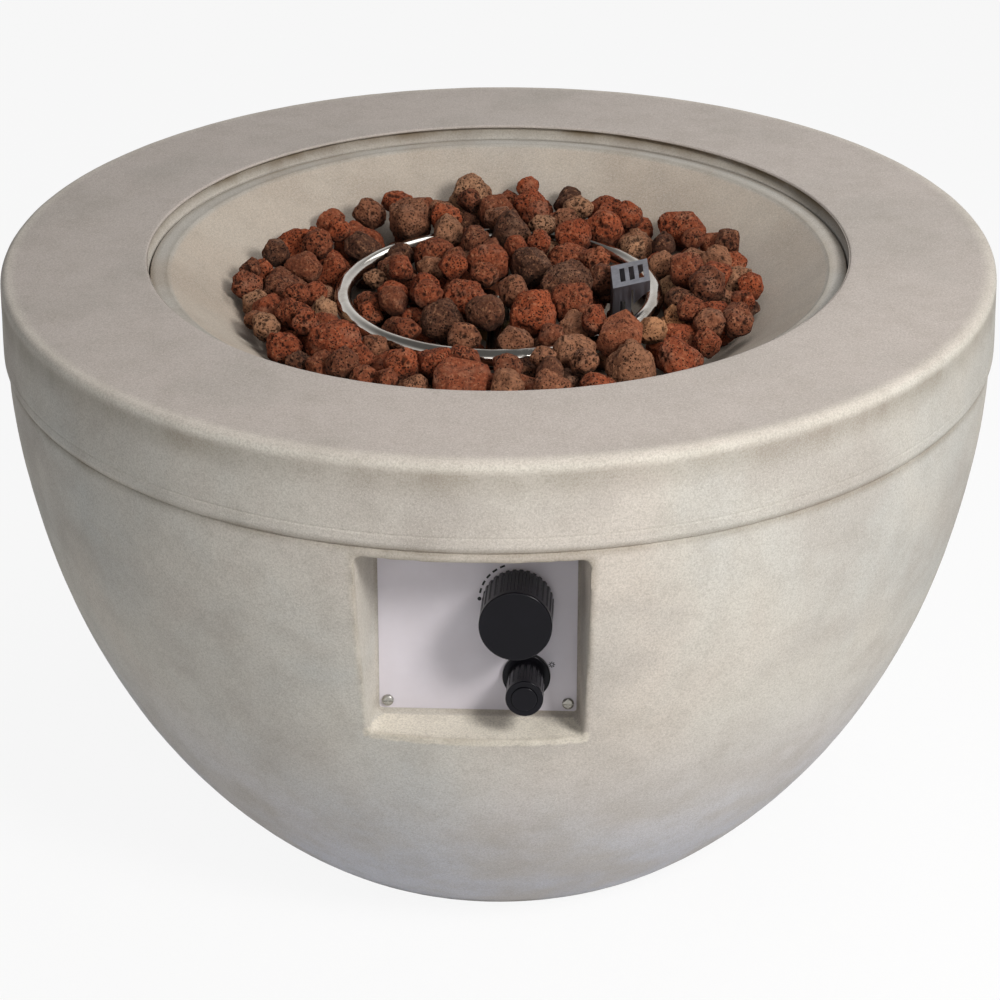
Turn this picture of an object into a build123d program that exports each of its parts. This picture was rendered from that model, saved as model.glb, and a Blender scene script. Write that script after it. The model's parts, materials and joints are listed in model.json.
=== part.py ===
from build123d import *
import math
import os

import numpy as np
from scipy.spatial import HalfspaceIntersection

# Gas fire pit: a round cast-concrete bowl with a drop-in fire dish, a ring burner under lava rock,
# and a control niche in the front wall. Millimetres, +Z up. The origin is on the floor under the
# middle of the bowl, and the niche faces -Y.

# Castings
HEIGHT = 440.0
RIM_SKIRT_R = 356.0
RIM_DRAFT = 3.0
RIM_BAND = 61.0
RIM_INNER_R = 250.0
RIM_SLAB = 28.0
SKIRT_WALL = 20.0
RIM_EDGE_R = 4.0
RIM_INNER_EDGE_R = 2.5
SEAM_STEP = 2.5
SEAM_EDGE_R = 1.2
BASE_R = 196.0
BASE_FLOOR = 18.0
BASE_EDGE_R = 6.0
BASE_OPENING_R = 120.0
BOWL_WALL = 14.0
BOWL_CURVE_SPANS = 6
NOTCH_W = 40.0
NOTCH_H = 30.0

# Fire dish
LEDGE_DROP = 11.0
LEDGE_W = 13.0
DISH_DEPTH = 63.0
DISH_SLOPE = 36.0
DISH_WALL = 10.0
DISH_KNEE_R = 100.0
DISH_LIP_R = 5.0
FLANGE_T = 12.0
FLANGE_CLEARANCE = 0.5
SHELF_W = 8.0
HOOP_WALL = 16.0
HOOP_DROP = 15.0

# Ring burner and its gas feed
RING_MARGIN = 4.8
TUBE_R = 6.35
TUBE_WALL = 1.2
RING_LIFT = 33.0
CROSS_R = 5.0
CROSS_DROP = 4.0
PORT_COUNT = 28
PORT_R = 1.3
HUB_R = 13.0
HUB_UP = 4.0
HUB_DOWN = 16.0
STEM_R = 8.0
STEM_WALL = 2.5
STEM_BELOW = 32.0
STEM_NUT_AF = 27.0
STEM_NUT_H = 8.0
STEM_WASHER_R = 17.0
STEM_WASHER_T = 2.0
MIXER_R = 12.5
MIXER_L = 54.0
MIXER_SOCKET = 10.0
MIXER_WINDOW_W = 7.0
MIXER_WINDOW_H = 18.0
ORIFICE_R = 4.0
ORIFICE_NOSE = 10.0
ORIFICE_BORE_R = 0.6
ORIFICE_HEX_AF = 17.0
ORIFICE_HEX_H = 8.0
UNION_R = 6.0
UNION_L = 14.0
UNION_NUT_AF = 17.0
UNION_NUT_L = 18.0
FEED_R = 4.75
FEED_WALL = 1.0
FEED_BENDS = (30.0, 26.0)
FEED_RUN = 70.0
FEED_DIP = 52.0
BEND_SHARE = 0.9

# Spark guard, electrode and thermocouple
GUARD_INSET = 18.0
GUARD_Y = -26.0
GUARD_TURN = 3.0
GUARD_W = 26.0
GUARD_D = 41.0
GUARD_H = 58.0
GUARD_RISE = 6.0
GUARD_SHEET = 1.0
GUARD_FOOT = 13.0
GUARD_SLOT_W = 3.6
GUARD_SLOT_L = 24.0
GUARD_SLOT_PITCH = 6.5
GUARD_SLOT_SHIFT = 1.0
GUARD_SLOT_DROP = 10.0
GUARD_SLIT_W = 1.4
GUARD_FLAP_H = 12.5
GUARD_FLAP_TIP = 1.5
GUARD_SCREW_R = 1.95
GUARD_SCREW_HEAD_R = 3.6
GUARD_SCREW_HEAD_H = 2.2
GUARD_SCREW_SPAN = 20.0
PROBE_R = 3.5
PROBE_SHOULDER_R = 5.5
PROBE_SHOULDER_H = 4.0
PROBE_BELOW = 24.0
PROBE_NUT_AF = 12.0
PROBE_NUT_H = 6.0
ELECTRODE_AT = (-6.0, -11.0)
ELECTRODE_TOP = 34.0
ELECTRODE_ROD_R = 1.2
ELECTRODE_ROD_OUT = 16.0
THERMO_AT = (-4.5, 9.0)
THERMO_TOP = 28.0
THERMO_TIP_R = 2.5
THERMO_TIP_OUT = 14.0
THERMO_TIP_ROUND = 0.9
LEAD_R = 1.6
LEAD_BENDS = (18.0, 30.0, 22.0)
LEAD_OUT = 30.0
LEAD_BACK = 60.0

# Control niche and its panel
PANEL_W = 128.0
PANEL_H = 132.0
PANEL_T = 1.2
PANEL_LEAN = 8.0
PANEL_CORNER_R = 2.0
PANEL_BELOW_SEAM = 79.0
NICHE_DEPTH = 56.0
NICHE_MARGIN = 1.5
NICHE_SIDE_DRAFT = 6.5
NICHE_SILL_DRAFT = 11.5
NICHE_TOP_DRAFT = -4.3
NICHE_CORNER_R = 5.0
NICHE_WALL = 12.0
NICHE_TOP_SKIN = 1.0
WINDOW_FRAME = 15.0
NUT_ROOM = 1.5
PANEL_SCREW_INSET = 5.5
PANEL_SCREW_R = 1.95
PANEL_SCREW_L = 9.0
PANEL_SCREW_HEAD_R = 3.8
PANEL_SCREW_HEAD_H = 2.4
SCREW_DOME = 0.6
SCREW_SLOT_W = 0.8
INSERT_R = 3.2
INSERT_L = 8.0

# Valve and knob, in the panel's own frame: right, up, and out of the panel
VALVE_AT = (26.0, 11.0)
VALVE_W = 36.0
VALVE_H = 32.0
VALVE_L = 40.0
VALVE_EDGE_R = 3.0
VALVE_BOSS_R = 6.0
VALVE_BOSS_OUT = 4.0
VALVE_SCREW_SPAN = 26.0
VALVE_CAVITY_R = 6.6
VALVE_BONNET = 7.0
VALVE_CAVITY_L = 22.0
SHAFT_R = 4.0
SHAFT_FLAT = 1.0
SHAFT_COLLAR_R = 5.5
SHAFT_COLLAR_T = 2.0
SHAFT_TAIL = 12.0
FOLLOWER_R = 6.3
FOLLOWER_T = 1.6
STEM_SPRING_R = 5.2
STEM_SPRING_WIRE_R = 0.45
KNOB_R = 23.0
KNOB_L = 40.0
KNOB_TRAVEL = 3.5
KNOB_STANDOFF = 1.5
KNOB_FLUTE_COUNT = 32
KNOB_FLUTE_R = 1.3
FLUTE_SHALLOW = 0.35
KNOB_FACE_BAND = 5.0
KNOB_EDGE_R = 1.2
KNOB_WALL = 3.5
KNOB_FACE_T = 6.0
KNOB_HUB_R = 7.5
KNOB_HUB_RECESS = 6.5
INLET_AT = 24.0
INLET_HEX_AF = 19.0
INLET_HEX_L = 9.0
INLET_R = 7.94
INLET_L = 16.0
INLET_BORE_R = 2.8
INLET_TIP_W = 0.7
INLET_CONE = 4.0
INLET_CONE_R = 7.5
LEAD_NUT_AF = 10.0
LEAD_NUT_L = 9.0

# Push-button igniter, in the panel's own frame
IGNITER_AT = (31.5, -41.0)
IGNITER_R = 10.0
PRESS_MARGIN = 2.5
IGNITER_BEHIND = 46.0
IGNITER_BORE_R = 7.5
IGNITER_END_WALL = 4.0
BEZEL_R = 15.5
BEZEL_T = 4.0
BEZEL_EDGE_R = 1.0
IGNITER_NUT_AF = 27.0
IGNITER_NUT_H = 6.0
CAP_R = 12.0
CAP_STANDOFF = 0.6
CAP_OUT = 38.0
CAP_RIB_COUNT = 20
CAP_RIB_R = 0.9
CAP_FACE_BAND = 5.0
CAP_EDGE_R = 0.8
CAP_FACE_T = 10.0
BUTTON_R = 8.2
BUTTON_PROUD = 1.0
BUTTON_TRAVEL = 3.0
BUTTON_FLANGE_R = 9.2
BUTTON_FLANGE_T = 2.0
BATTERY_R = 7.1
BATTERY_L = 49.0
BATTERY_NUB_R = 2.7
BATTERY_NUB_H = 1.0
BATTERY_SPRING_GAP = 6.0
CELL_SPRING_R = 4.6
CELL_SPRING_WIRE_R = 0.4
TAB_W = 6.3
TAB_T = 0.8
TAB_L = 12.0
TAB_SPAN = 8.0

# Lava rock
ROCK_SEED = 11
ROCK_MIN_R = 8.5
ROCK_MAX_R = 19.5
ROCK_BED_MARGIN = 43.0
ROCK_HEAP = 64.0
ROCK_EDGE = 57.0
ROCK_CROWN = 1.22
ROCK_FACE_COUNT = 16
ROCK_TRY_COUNT = 70
ROCK_MISS_COUNT = 300
ROCK_NEAR = 1.35
ROCK_SAG = 0.3
ROCK_TROUGH_SLOPE = 0.62
ROCK_COVERED_ARCS = ((52.0, 96.0), (106.0, 124.0), (293.0, 318.0))
ROCK_BESIDE_GUARD = 0.75
ROCK_CUTS = (0.84, 1.1)
ROCK_STRETCH = (0.8, 1.25)

# Even spread of a rock's faces
GOLDEN_ANGLE = math.pi * (3 - math.sqrt(5))

# Clearances
BORE_CLEARANCE = 0.05
TURN_CLEARANCE = 0.08
LOOSE_CLEARANCE = 0.3
ROCK_GAP = 0.4

# Heights that follow from the sizes above
TOP_Z = HEIGHT
SEAM_Z = TOP_Z - RIM_BAND
RIM_TOP_R = RIM_SKIRT_R - RIM_DRAFT
LEDGE_Z = TOP_Z - LEDGE_DROP
SHELF_Z = LEDGE_Z - FLANGE_T
DISH_FLOOR_Z = LEDGE_Z - DISH_DEPTH
DISH_UNDER_Z = DISH_FLOOR_Z - DISH_WALL
RING_Z = DISH_FLOOR_Z + RING_LIFT
LIP_R = RIM_INNER_R - LEDGE_W
SHELF_R = RIM_INNER_R - SHELF_W
BOWL_R = RIM_SKIRT_R - SEAM_STEP
BOWL_SEMI_HEIGHT = SEAM_Z / math.sqrt(1 - (BASE_R / BOWL_R) ** 2)
SLOPE = math.radians(DISH_SLOPE)
DISH_KNEE_AT = LIP_R - DISH_DEPTH / math.tan(SLOPE)
KNEE_TANGENT = DISH_KNEE_R * math.tan(SLOPE / 2)
KNEE_START_R = DISH_KNEE_AT - KNEE_TANGENT
KNEE_END_R = DISH_KNEE_AT + KNEE_TANGENT * math.cos(SLOPE)
RING_R = KNEE_START_R - RING_MARGIN
GUARD_X = RING_R - GUARD_INSET
ROCK_BED_R = LIP_R - ROCK_BED_MARGIN
STEM_HOLE_R = STEM_R + LOOSE_CLEARANCE
PROBE_HOLE_R = PROBE_R + LOOSE_CLEARANCE
STEM_BOTTOM_Z = DISH_UNDER_Z - STEM_BELOW
MIXER_TOP_Z = STEM_BOTTOM_Z + MIXER_SOCKET
MIXER_BOTTOM_Z = MIXER_TOP_Z - MIXER_L
ORIFICE_HEX_Z = MIXER_BOTTOM_Z - ORIFICE_HEX_H
UNION_END_Z = ORIFICE_HEX_Z - UNION_L
PROBE_BOTTOM_Z = DISH_UNDER_Z - PROBE_BELOW


def bowl_radius(z):
    """Outer radius of the bowl at height z."""
    return BOWL_R * math.sqrt(1 - ((SEAM_Z - z) / BOWL_SEMI_HEIGHT) ** 2)


LEAN = math.radians(PANEL_LEAN)
PANEL_Z = SEAM_Z - PANEL_BELOW_SEAM
PANEL_Y = NICHE_DEPTH - bowl_radius(PANEL_Z)
PANEL = Plane(
    origin=(0, PANEL_Y, PANEL_Z),
    x_dir=(1, 0, 0),
    z_dir=(0, -math.cos(LEAN), math.sin(LEAN)),
).location
VALVE = PANEL * Pos(VALVE_AT[0], VALVE_AT[1], 0)
IGNITER = PANEL * Pos(IGNITER_AT[0], IGNITER_AT[1], 0)
GUARD = Pos(GUARD_X, GUARD_Y, DISH_FLOOR_Z) * Rot(0, 0, GUARD_TURN)
ELECTRODE = GUARD * Pos(ELECTRODE_AT[0], ELECTRODE_AT[1], 0)
THERMO = GUARD * Pos(THERMO_AT[0], THERMO_AT[1], 0)


# Small building blocks
def rod(radius, z0, z1):
    """Round bar along Z from z0 to z1."""
    return Pos(0, 0, z0) * extrude(Circle(radius), z1 - z0)


def pipe(outer_r, inner_r, z0, z1):
    """Round tube along Z from z0 to z1."""
    return Pos(0, 0, z0) * extrude(Circle(outer_r) - Circle(inner_r), z1 - z0)


def hexagon(across_flats, z0, z1):
    """Hexagonal bar along Z from z0 to z1."""
    return Pos(0, 0, z0) * extrude(RegularPolygon(across_flats / 2, 6, major_radius=False), z1 - z0)


def block(x0, x1, y0, y1, z0, z1):
    """Box between two corners."""
    middle = Pos((x0 + x1) / 2, (y0 + y1) / 2, (z0 + z1) / 2)
    return middle * Box(x1 - x0, y1 - y0, z1 - z0)


def corner(profile, x, y):
    """The vertex of a flat profile that lies nearest to x, y."""
    return min(profile.vertices(), key=lambda v: math.hypot(v.X - x, v.Y - y))


def turned(profile):
    """Solid of revolution about Z of a profile drawn as radius and height."""
    return revolve(Plane.XZ * profile, Axis.Z)


def rounded(profile, corners):
    """Profile with each listed (x, y, radius) corner rounded."""
    for x, y, radius in corners:
        profile = fillet(corner(profile, x, y), radius)
    return profile


def coil(radius, wire_r, z0, z1):
    """Hidden compression spring, drawn as the sleeve that its turns fill."""
    return pipe(radius + wire_r, radius - wire_r, z0, z1)


def fitting_bends(points, bends):
    """Bend radii, each held to what the shorter straight run beside its corner can take."""
    radii = []
    for before, at, after, radius in zip(points, points[1:], points[2:], bends):
        half_turn = math.radians((at - before).get_angle(after - at)) / 2
        run = min((at - before).length, (after - at).length)
        radii.append(min(radius, BEND_SHARE * run / math.tan(half_turn)))
    return radii


def bent_tube(points, bends, outer_r, inner_r):
    """Tube along straight runs joined by tangent arcs; prints its radii and checks its volume."""
    radii = fitting_bends(points, bends)
    path = FilletPolyline(*points, radius=radii)
    start = Plane(origin=path @ 0, z_dir=path % 0)
    section = Circle(outer_r) - Circle(inner_r) if inner_r else Circle(outer_r)
    tube = sweep(start * section, path=path)
    expected = section.area * path.length
    print(f"tube of radius {outer_r}: bends {radii}, volume {tube.volume:.0f}, expected {expected:.0f}")
    return tube


# Castings
def make_rim_ring():
    slab_z = TOP_Z - RIM_SLAB
    hoop_r = SHELF_R + HOOP_WALL
    hoop_z = SHELF_Z - HOOP_DROP
    skirt_in = RIM_SKIRT_R - SKIRT_WALL
    outline = [
        (RIM_INNER_R, TOP_Z),
        (RIM_TOP_R, TOP_Z),
        (RIM_SKIRT_R, SEAM_Z),
        (skirt_in, SEAM_Z),
        (skirt_in, slab_z),
        (hoop_r, slab_z),
        (hoop_r, hoop_z),
        (SHELF_R, hoop_z),
        (SHELF_R, SHELF_Z),
        (RIM_INNER_R, SHELF_Z),
    ]
    profile = make_face(Polyline(*outline, close=True))
    edges = [
        (RIM_TOP_R, TOP_Z, RIM_EDGE_R),
        (RIM_INNER_R, TOP_Z, RIM_INNER_EDGE_R),
        (RIM_SKIRT_R, SEAM_Z, SEAM_EDGE_R),
    ]
    return turned(rounded(profile, edges))


def make_fire_dish():
    wall_shift = DISH_WALL / math.sin(SLOPE)
    flange_r = RIM_INNER_R - FLANGE_CLEARANCE
    outer_top_r = LIP_R + wall_shift - FLANGE_T / math.tan(SLOPE)
    outer_knee = LIP_R + wall_shift - (LEDGE_Z - DISH_UNDER_Z) / math.tan(SLOPE)
    outline = [
        (STEM_HOLE_R, DISH_FLOOR_Z),
        (DISH_KNEE_AT, DISH_FLOOR_Z),
        (LIP_R, LEDGE_Z),
        (flange_r, LEDGE_Z),
        (flange_r, SHELF_Z),
        (outer_top_r, SHELF_Z),
        (outer_knee, DISH_UNDER_Z),
        (STEM_HOLE_R, DISH_UNDER_Z),
    ]
    profile = make_face(Polyline(*outline, close=True))
    edges = [
        (DISH_KNEE_AT, DISH_FLOOR_Z, DISH_KNEE_R),
        (LIP_R, LEDGE_Z, DISH_LIP_R),
        (outer_knee, DISH_UNDER_Z, DISH_KNEE_R + DISH_WALL),
    ]
    dish = turned(rounded(profile, edges))
    for place in (ELECTRODE, THERMO):
        dish -= place * rod(PROBE_HOLE_R, -2 * DISH_WALL, DISH_WALL)
    for place in guard_screw_places():
        dish -= place * rod(GUARD_SCREW_R + BORE_CLEARANCE, -2 * DISH_WALL, DISH_WALL)
    return dish


def bowl_profile(radius, semi_height, floor_z):
    """Half outline of an elliptical bowl from floor_z up to the seam."""
    start = math.asin((SEAM_Z - floor_z) / semi_height)
    angles = [start * (1 - step / BOWL_CURVE_SPANS) for step in range(BOWL_CURVE_SPANS + 1)]
    points = [(radius * math.cos(a), SEAM_Z - semi_height * math.sin(a)) for a in angles]
    leaving = (radius * math.sin(start), semi_height * math.cos(start))
    lines = [
        Line((0, floor_z), points[0]),
        Spline(*points, tangents=[leaving, (0, 1)]),
        Line(points[-1], (0, SEAM_Z)),
        Line((0, SEAM_Z), (0, floor_z)),
    ]
    return make_face(lines)


def niche_cutter():
    """Tapered pocket from the panel's seat out through the bowl's wall."""
    reach = NICHE_DEPTH * 2

    def mouth(out):
        half = PANEL_W / 2 + NICHE_MARGIN + out * math.tan(math.radians(NICHE_SIDE_DRAFT))
        low = -PANEL_H / 2 - NICHE_MARGIN - out * math.tan(math.radians(NICHE_SILL_DRAFT))
        high = PANEL_H / 2 + NICHE_MARGIN + out * math.tan(math.radians(NICHE_TOP_DRAFT))
        outline = Pos(0, (low + high) / 2) * RectangleRounded(2 * half, high - low, NICHE_CORNER_R)
        return Pos(0, 0, out) * outline

    return PANEL * loft([mouth(-PANEL_T), mouth(reach)])


def panel_corners():
    """The four screw places in the panel's frame."""
    x = PANEL_W / 2 - PANEL_SCREW_INSET
    y = PANEL_H / 2 - PANEL_SCREW_INSET
    return [PANEL * Pos(sx * x, sy * y, 0) for sx in (-1, 1) for sy in (-1, 1)]


def make_bowl_shell():
    outer = turned(bowl_profile(BOWL_R, BOWL_SEMI_HEIGHT, 0))
    rims = outer.edges().filter_by(GeomType.CIRCLE).group_by(Axis.Z)
    outer = fillet(rims[-1], SEAM_EDGE_R)
    outer = fillet(outer.edges().filter_by(GeomType.CIRCLE).group_by(Axis.Z)[0], BASE_EDGE_R)
    inner = turned(bowl_profile(BOWL_R - BOWL_WALL, BOWL_SEMI_HEIGHT - BOWL_WALL, BASE_FLOOR))
    side = PANEL_W / 2 + NICHE_MARGIN + NICHE_WALL
    low = -PANEL_H / 2 - NICHE_MARGIN - NICHE_WALL
    reach = 2 * NICHE_DEPTH
    housing = PANEL * block(-side, side, low, PANEL_H, -PANEL_T - NICHE_WALL, reach)
    lid_z = SEAM_Z - NICHE_TOP_SKIN
    housing &= block(-RIM_SKIRT_R, RIM_SKIRT_R, -RIM_SKIRT_R, 0, 0, lid_z)
    shell = outer - inner + (housing & outer)
    shell -= niche_cutter()
    half_w = PANEL_W / 2 - WINDOW_FRAME
    half_h = PANEL_H / 2 - WINDOW_FRAME
    shell -= PANEL * block(-half_w, half_w, -half_h, half_h, -2 * NICHE_WALL, 0)
    shell -= IGNITER * rod(IGNITER_NUT_AF / math.sqrt(3) + NUT_ROOM, -2 * NICHE_WALL, 0)
    for place in panel_corners():
        shell -= place * rod(INSERT_R + BORE_CLEARANCE, -PANEL_T - INSERT_L - BORE_CLEARANCE, 0)
    shell -= rod(BASE_OPENING_R, -BASE_FLOOR, 2 * BASE_FLOOR)
    arch = Pos(0, NOTCH_H - NOTCH_W / 2) * Circle(NOTCH_W / 2) + Rectangle(NOTCH_W, 2 * NOTCH_H - NOTCH_W)
    shell -= extrude(Plane.XZ * arch, -RIM_SKIRT_R)
    return shell


# Ring burner and gas feed
def make_burner_ring():
    cross = Pos(0, 0, -CROSS_DROP) * Rot(90, 0, 0)
    burner = Torus(RING_R, TUBE_R) + cross * rod(CROSS_R, -RING_R, RING_R)
    burner += rod(HUB_R, -HUB_DOWN, HUB_UP)
    burner -= Torus(RING_R, TUBE_R - TUBE_WALL)
    burner -= cross * rod(CROSS_R - TUBE_WALL, -RING_R, RING_R)
    burner -= rod(STEM_R + BORE_CLEARANCE, -HUB_DOWN, -CROSS_DROP)
    port = Pos(RING_R, 0, 0) * Rot(0, -90, 0) * rod(PORT_R, 0, 2 * TUBE_R)
    turns = [360 / PORT_COUNT * (step + 0.5) for step in range(PORT_COUNT)]
    burner -= [Rot(0, 0, turn) * port for turn in turns]
    return Pos(0, 0, RING_Z) * burner


def make_burner_stem():
    return pipe(STEM_R, STEM_R - STEM_WALL, STEM_BOTTOM_Z, RING_Z - CROSS_DROP)


def stem_nut(z0):
    return hexagon(STEM_NUT_AF, z0, z0 + STEM_NUT_H) - rod(STEM_R + BORE_CLEARANCE, z0, z0 + STEM_NUT_H)


def make_stem_nuts():
    return Compound([stem_nut(DISH_FLOOR_Z), stem_nut(DISH_UNDER_Z - STEM_WASHER_T - STEM_NUT_H)])


def make_stem_washer():
    return pipe(STEM_WASHER_R, STEM_R + BORE_CLEARANCE, DISH_UNDER_Z - STEM_WASHER_T, DISH_UNDER_Z)


def make_air_mixer():
    throat_z = MIXER_BOTTOM_Z + ORIFICE_NOSE + BORE_CLEARANCE
    mixer = rod(MIXER_R, MIXER_BOTTOM_Z, MIXER_TOP_Z)
    mixer -= rod(STEM_R + BORE_CLEARANCE, STEM_BOTTOM_Z, MIXER_TOP_Z)
    mixer -= rod(STEM_R - STEM_WALL, throat_z, STEM_BOTTOM_Z)
    mixer -= rod(ORIFICE_R + BORE_CLEARANCE, MIXER_BOTTOM_Z, throat_z)
    half = MIXER_WINDOW_W / 2
    window = block(-MIXER_R, MIXER_R, -half, half, throat_z, throat_z + MIXER_WINDOW_H)
    return mixer - window - Rot(0, 0, 90) * window


def make_gas_orifice():
    jet = rod(ORIFICE_R, ORIFICE_HEX_Z, MIXER_BOTTOM_Z + ORIFICE_NOSE)
    jet += hexagon(ORIFICE_HEX_AF, ORIFICE_HEX_Z, MIXER_BOTTOM_Z)
    jet += rod(UNION_R, UNION_END_Z, ORIFICE_HEX_Z)
    jet -= rod(FEED_R - FEED_WALL, UNION_END_Z, ORIFICE_HEX_Z)
    return jet - rod(ORIFICE_BORE_R, ORIFICE_HEX_Z, MIXER_BOTTOM_Z + ORIFICE_NOSE)


def union_nut():
    """Tube nut along Z: the threaded end is at z 0, the tube leaves at the top."""
    nut = hexagon(UNION_NUT_AF, LOOSE_CLEARANCE, UNION_NUT_L)
    nut -= rod(UNION_R + BORE_CLEARANCE, 0, UNION_L)
    return nut - rod(FEED_R + BORE_CLEARANCE, UNION_L, UNION_NUT_L)


VALVE_OUTLET = VALVE * Pos(0, 0, -PANEL_T - VALVE_L)


def make_union_nuts():
    at_orifice = Pos(0, 0, ORIFICE_HEX_Z) * Rot(180, 0, 0) * union_nut()
    at_valve = VALVE_OUTLET * Rot(180, 0, 0) * union_nut()
    return Compound([at_orifice, at_valve])


def make_gas_feed_tube():
    start = (VALVE_OUTLET * Pos(0, 0, -UNION_L - BORE_CLEARANCE)).position
    bend = (VALVE_OUTLET * Pos(0, 0, -UNION_L - FEED_RUN)).position
    end = Vector(0, 0, UNION_END_Z - BORE_CLEARANCE)
    low = Vector(0, 0, UNION_END_Z - FEED_DIP)
    return bent_tube([start, bend, low, end], FEED_BENDS, FEED_R, FEED_R - FEED_WALL)


# Spark guard, electrode and thermocouple
def guard_screw_places():
    x = -GUARD_W / 2 - GUARD_FOOT / 2
    return [GUARD * Pos(x, side * GUARD_SCREW_SPAN / 2, 0) for side in (-1, 1)]


def guard_prism(inset):
    """Hood shape with a roof that climbs outwards, drawn in by the sheet where inset is set."""
    half = GUARD_W / 2 - inset
    depth = GUARD_D - 2 * inset
    climb = GUARD_RISE / GUARD_W
    low = GUARD_H - inset + inset * climb
    high = GUARD_H + GUARD_RISE - inset - inset * climb
    outline = Polyline((-half, 0), (half, 0), (half, high), (-half, low), close=True)
    return extrude(Plane.XZ * make_face(outline), depth / 2, both=True)


def make_spark_guard():
    half_w = GUARD_W / 2
    half_d = GUARD_D / 2
    front = -half_d + GUARD_SHEET
    guard = guard_prism(0) - guard_prism(GUARD_SHEET)
    # The outer half is cut away over the burner tube, with a curved lower edge
    arc_low = GUARD_H - GUARD_FLAP_H
    arc_high = GUARD_H - GUARD_FLAP_TIP
    arc_mid = (arc_low + arc_high) / 2
    edge = ThreePointArc((GUARD_SLIT_W, arc_low), (half_w / 2, arc_mid), (half_w, arc_high))
    below = [
        (half_w, arc_high),
        (GUARD_W, arc_high),
        (GUARD_W, 0),
        (GUARD_SLIT_W, 0),
        (GUARD_SLIT_W, arc_low),
    ]
    cut = make_face([edge, *Polyline(*below).edges()])
    guard -= extrude(Plane.XZ * cut, GUARD_D, both=True)
    # Slit between the two front leaves, and the slot that shows the electrode
    guard -= block(0, GUARD_SLIT_W, -GUARD_D, front, 0, GUARD_H - GUARD_SHEET)
    slot_x = ELECTRODE_AT[0]
    slot_half = GUARD_SLOT_W / 2
    slot_top = GUARD_H - GUARD_SLOT_DROP
    guard -= block(slot_x - slot_half, slot_x + slot_half, -GUARD_D, front, 0, slot_top)
    # Three vents in the roof
    vent_half = GUARD_SLOT_L / 2
    for step in (-1, 0, 1):
        x = step * GUARD_SLOT_PITCH + GUARD_SLOT_SHIFT
        guard -= block(x - slot_half, x + slot_half, -vent_half, vent_half, GUARD_H / 2, 2 * GUARD_H)
    foot = block(-half_w - GUARD_FOOT, -half_w + GUARD_SHEET, -half_d, half_d, 0, GUARD_SHEET)
    guard = GUARD * (guard + foot)
    for place in guard_screw_places():
        guard -= place * rod(GUARD_SCREW_R + LOOSE_CLEARANCE, 0, GUARD_SHEET)
    return guard


def screw(shank_r, length, head_r, head_h):
    """Domed screw along Z: the head sits on z 0 and the shank runs down."""
    head = rod(head_r, 0, head_h)
    head = fillet(head.edges().sort_by(Axis.Z)[-1], head_h * SCREW_DOME)
    half = SCREW_SLOT_W / 2
    slot = block(-half, half, -head_r, head_r, head_h * SCREW_DOME, head_h)
    return head - slot - Rot(0, 0, 90) * slot + rod(shank_r, -length, 0)


def make_guard_screws():
    one = screw(GUARD_SCREW_R, DISH_WALL, GUARD_SCREW_HEAD_R, GUARD_SCREW_HEAD_H)
    return Compound([place * Pos(0, 0, GUARD_SHEET) * one for place in guard_screw_places()])


def probe_body(top):
    body = rod(PROBE_R, -DISH_WALL - PROBE_BELOW, top)
    return body + rod(PROBE_SHOULDER_R, 0, PROBE_SHOULDER_H)


def make_electrode_ceramic():
    bore = rod(ELECTRODE_ROD_R + BORE_CLEARANCE, -DISH_WALL - PROBE_BELOW, ELECTRODE_TOP)
    return ELECTRODE * (probe_body(ELECTRODE_TOP) - bore)


def make_electrode_rod():
    return ELECTRODE * rod(
        ELECTRODE_ROD_R, -DISH_WALL - PROBE_BELOW - ELECTRODE_ROD_OUT / 2, ELECTRODE_TOP + ELECTRODE_ROD_OUT
    )


def make_thermocouple():
    tip = rod(THERMO_TIP_R, THERMO_TOP, THERMO_TOP + THERMO_TIP_OUT)
    tip = fillet(tip.edges().sort_by(Axis.Z)[-1], THERMO_TIP_R * THERMO_TIP_ROUND)
    return THERMO * (probe_body(THERMO_TOP) + tip)


def make_probe_nuts():
    nut = hexagon(PROBE_NUT_AF, -DISH_WALL - PROBE_NUT_H, -DISH_WALL)
    nut -= rod(PROBE_R + BORE_CLEARANCE, -DISH_WALL - PROBE_NUT_H, -DISH_WALL)
    return Compound([ELECTRODE * nut, THERMO * nut])


LEAD_OUTLET = VALVE * Pos(VALVE_W / 2, 0, -PANEL_T - INLET_AT) * Rot(0, 90, 0)


def make_thermocouple_lead():
    start = (LEAD_OUTLET * Pos(0, 0, LEAD_NUT_L / 2)).position
    out = (LEAD_OUTLET * Pos(0, 0, LEAD_NUT_L + LEAD_OUT)).position
    foot = (THERMO * Pos(0, 0, -DISH_WALL - PROBE_BELOW)).position
    low = Vector(foot.X, foot.Y, out.Z)
    turn = Vector(out.X, out.Y + LEAD_BACK, out.Z)
    return bent_tube([start, out, turn, low, foot], LEAD_BENDS, LEAD_R, 0)


def make_lead_nut():
    nut = hexagon(LEAD_NUT_AF, 0, LEAD_NUT_L)
    return LEAD_OUTLET * (nut - rod(LEAD_R + BORE_CLEARANCE, LEAD_NUT_L / 2 - BORE_CLEARANCE, LEAD_NUT_L))


# Control panel
def make_control_panel():
    sheet = block(-PANEL_W / 2, PANEL_W / 2, -PANEL_H / 2, PANEL_H / 2, -PANEL_T, 0)
    sheet = PANEL * fillet(sheet.edges().filter_by(Axis.Z), PANEL_CORNER_R)
    through = rod(PANEL_SCREW_R + LOOSE_CLEARANCE, -2 * PANEL_T, PANEL_T)
    for place in panel_corners() + valve_screw_places():
        sheet -= place * through
    sheet -= VALVE * rod(VALVE_BOSS_R + LOOSE_CLEARANCE, -2 * PANEL_T, PANEL_T)
    return sheet - IGNITER * rod(IGNITER_R + LOOSE_CLEARANCE, -2 * PANEL_T, PANEL_T)


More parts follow.
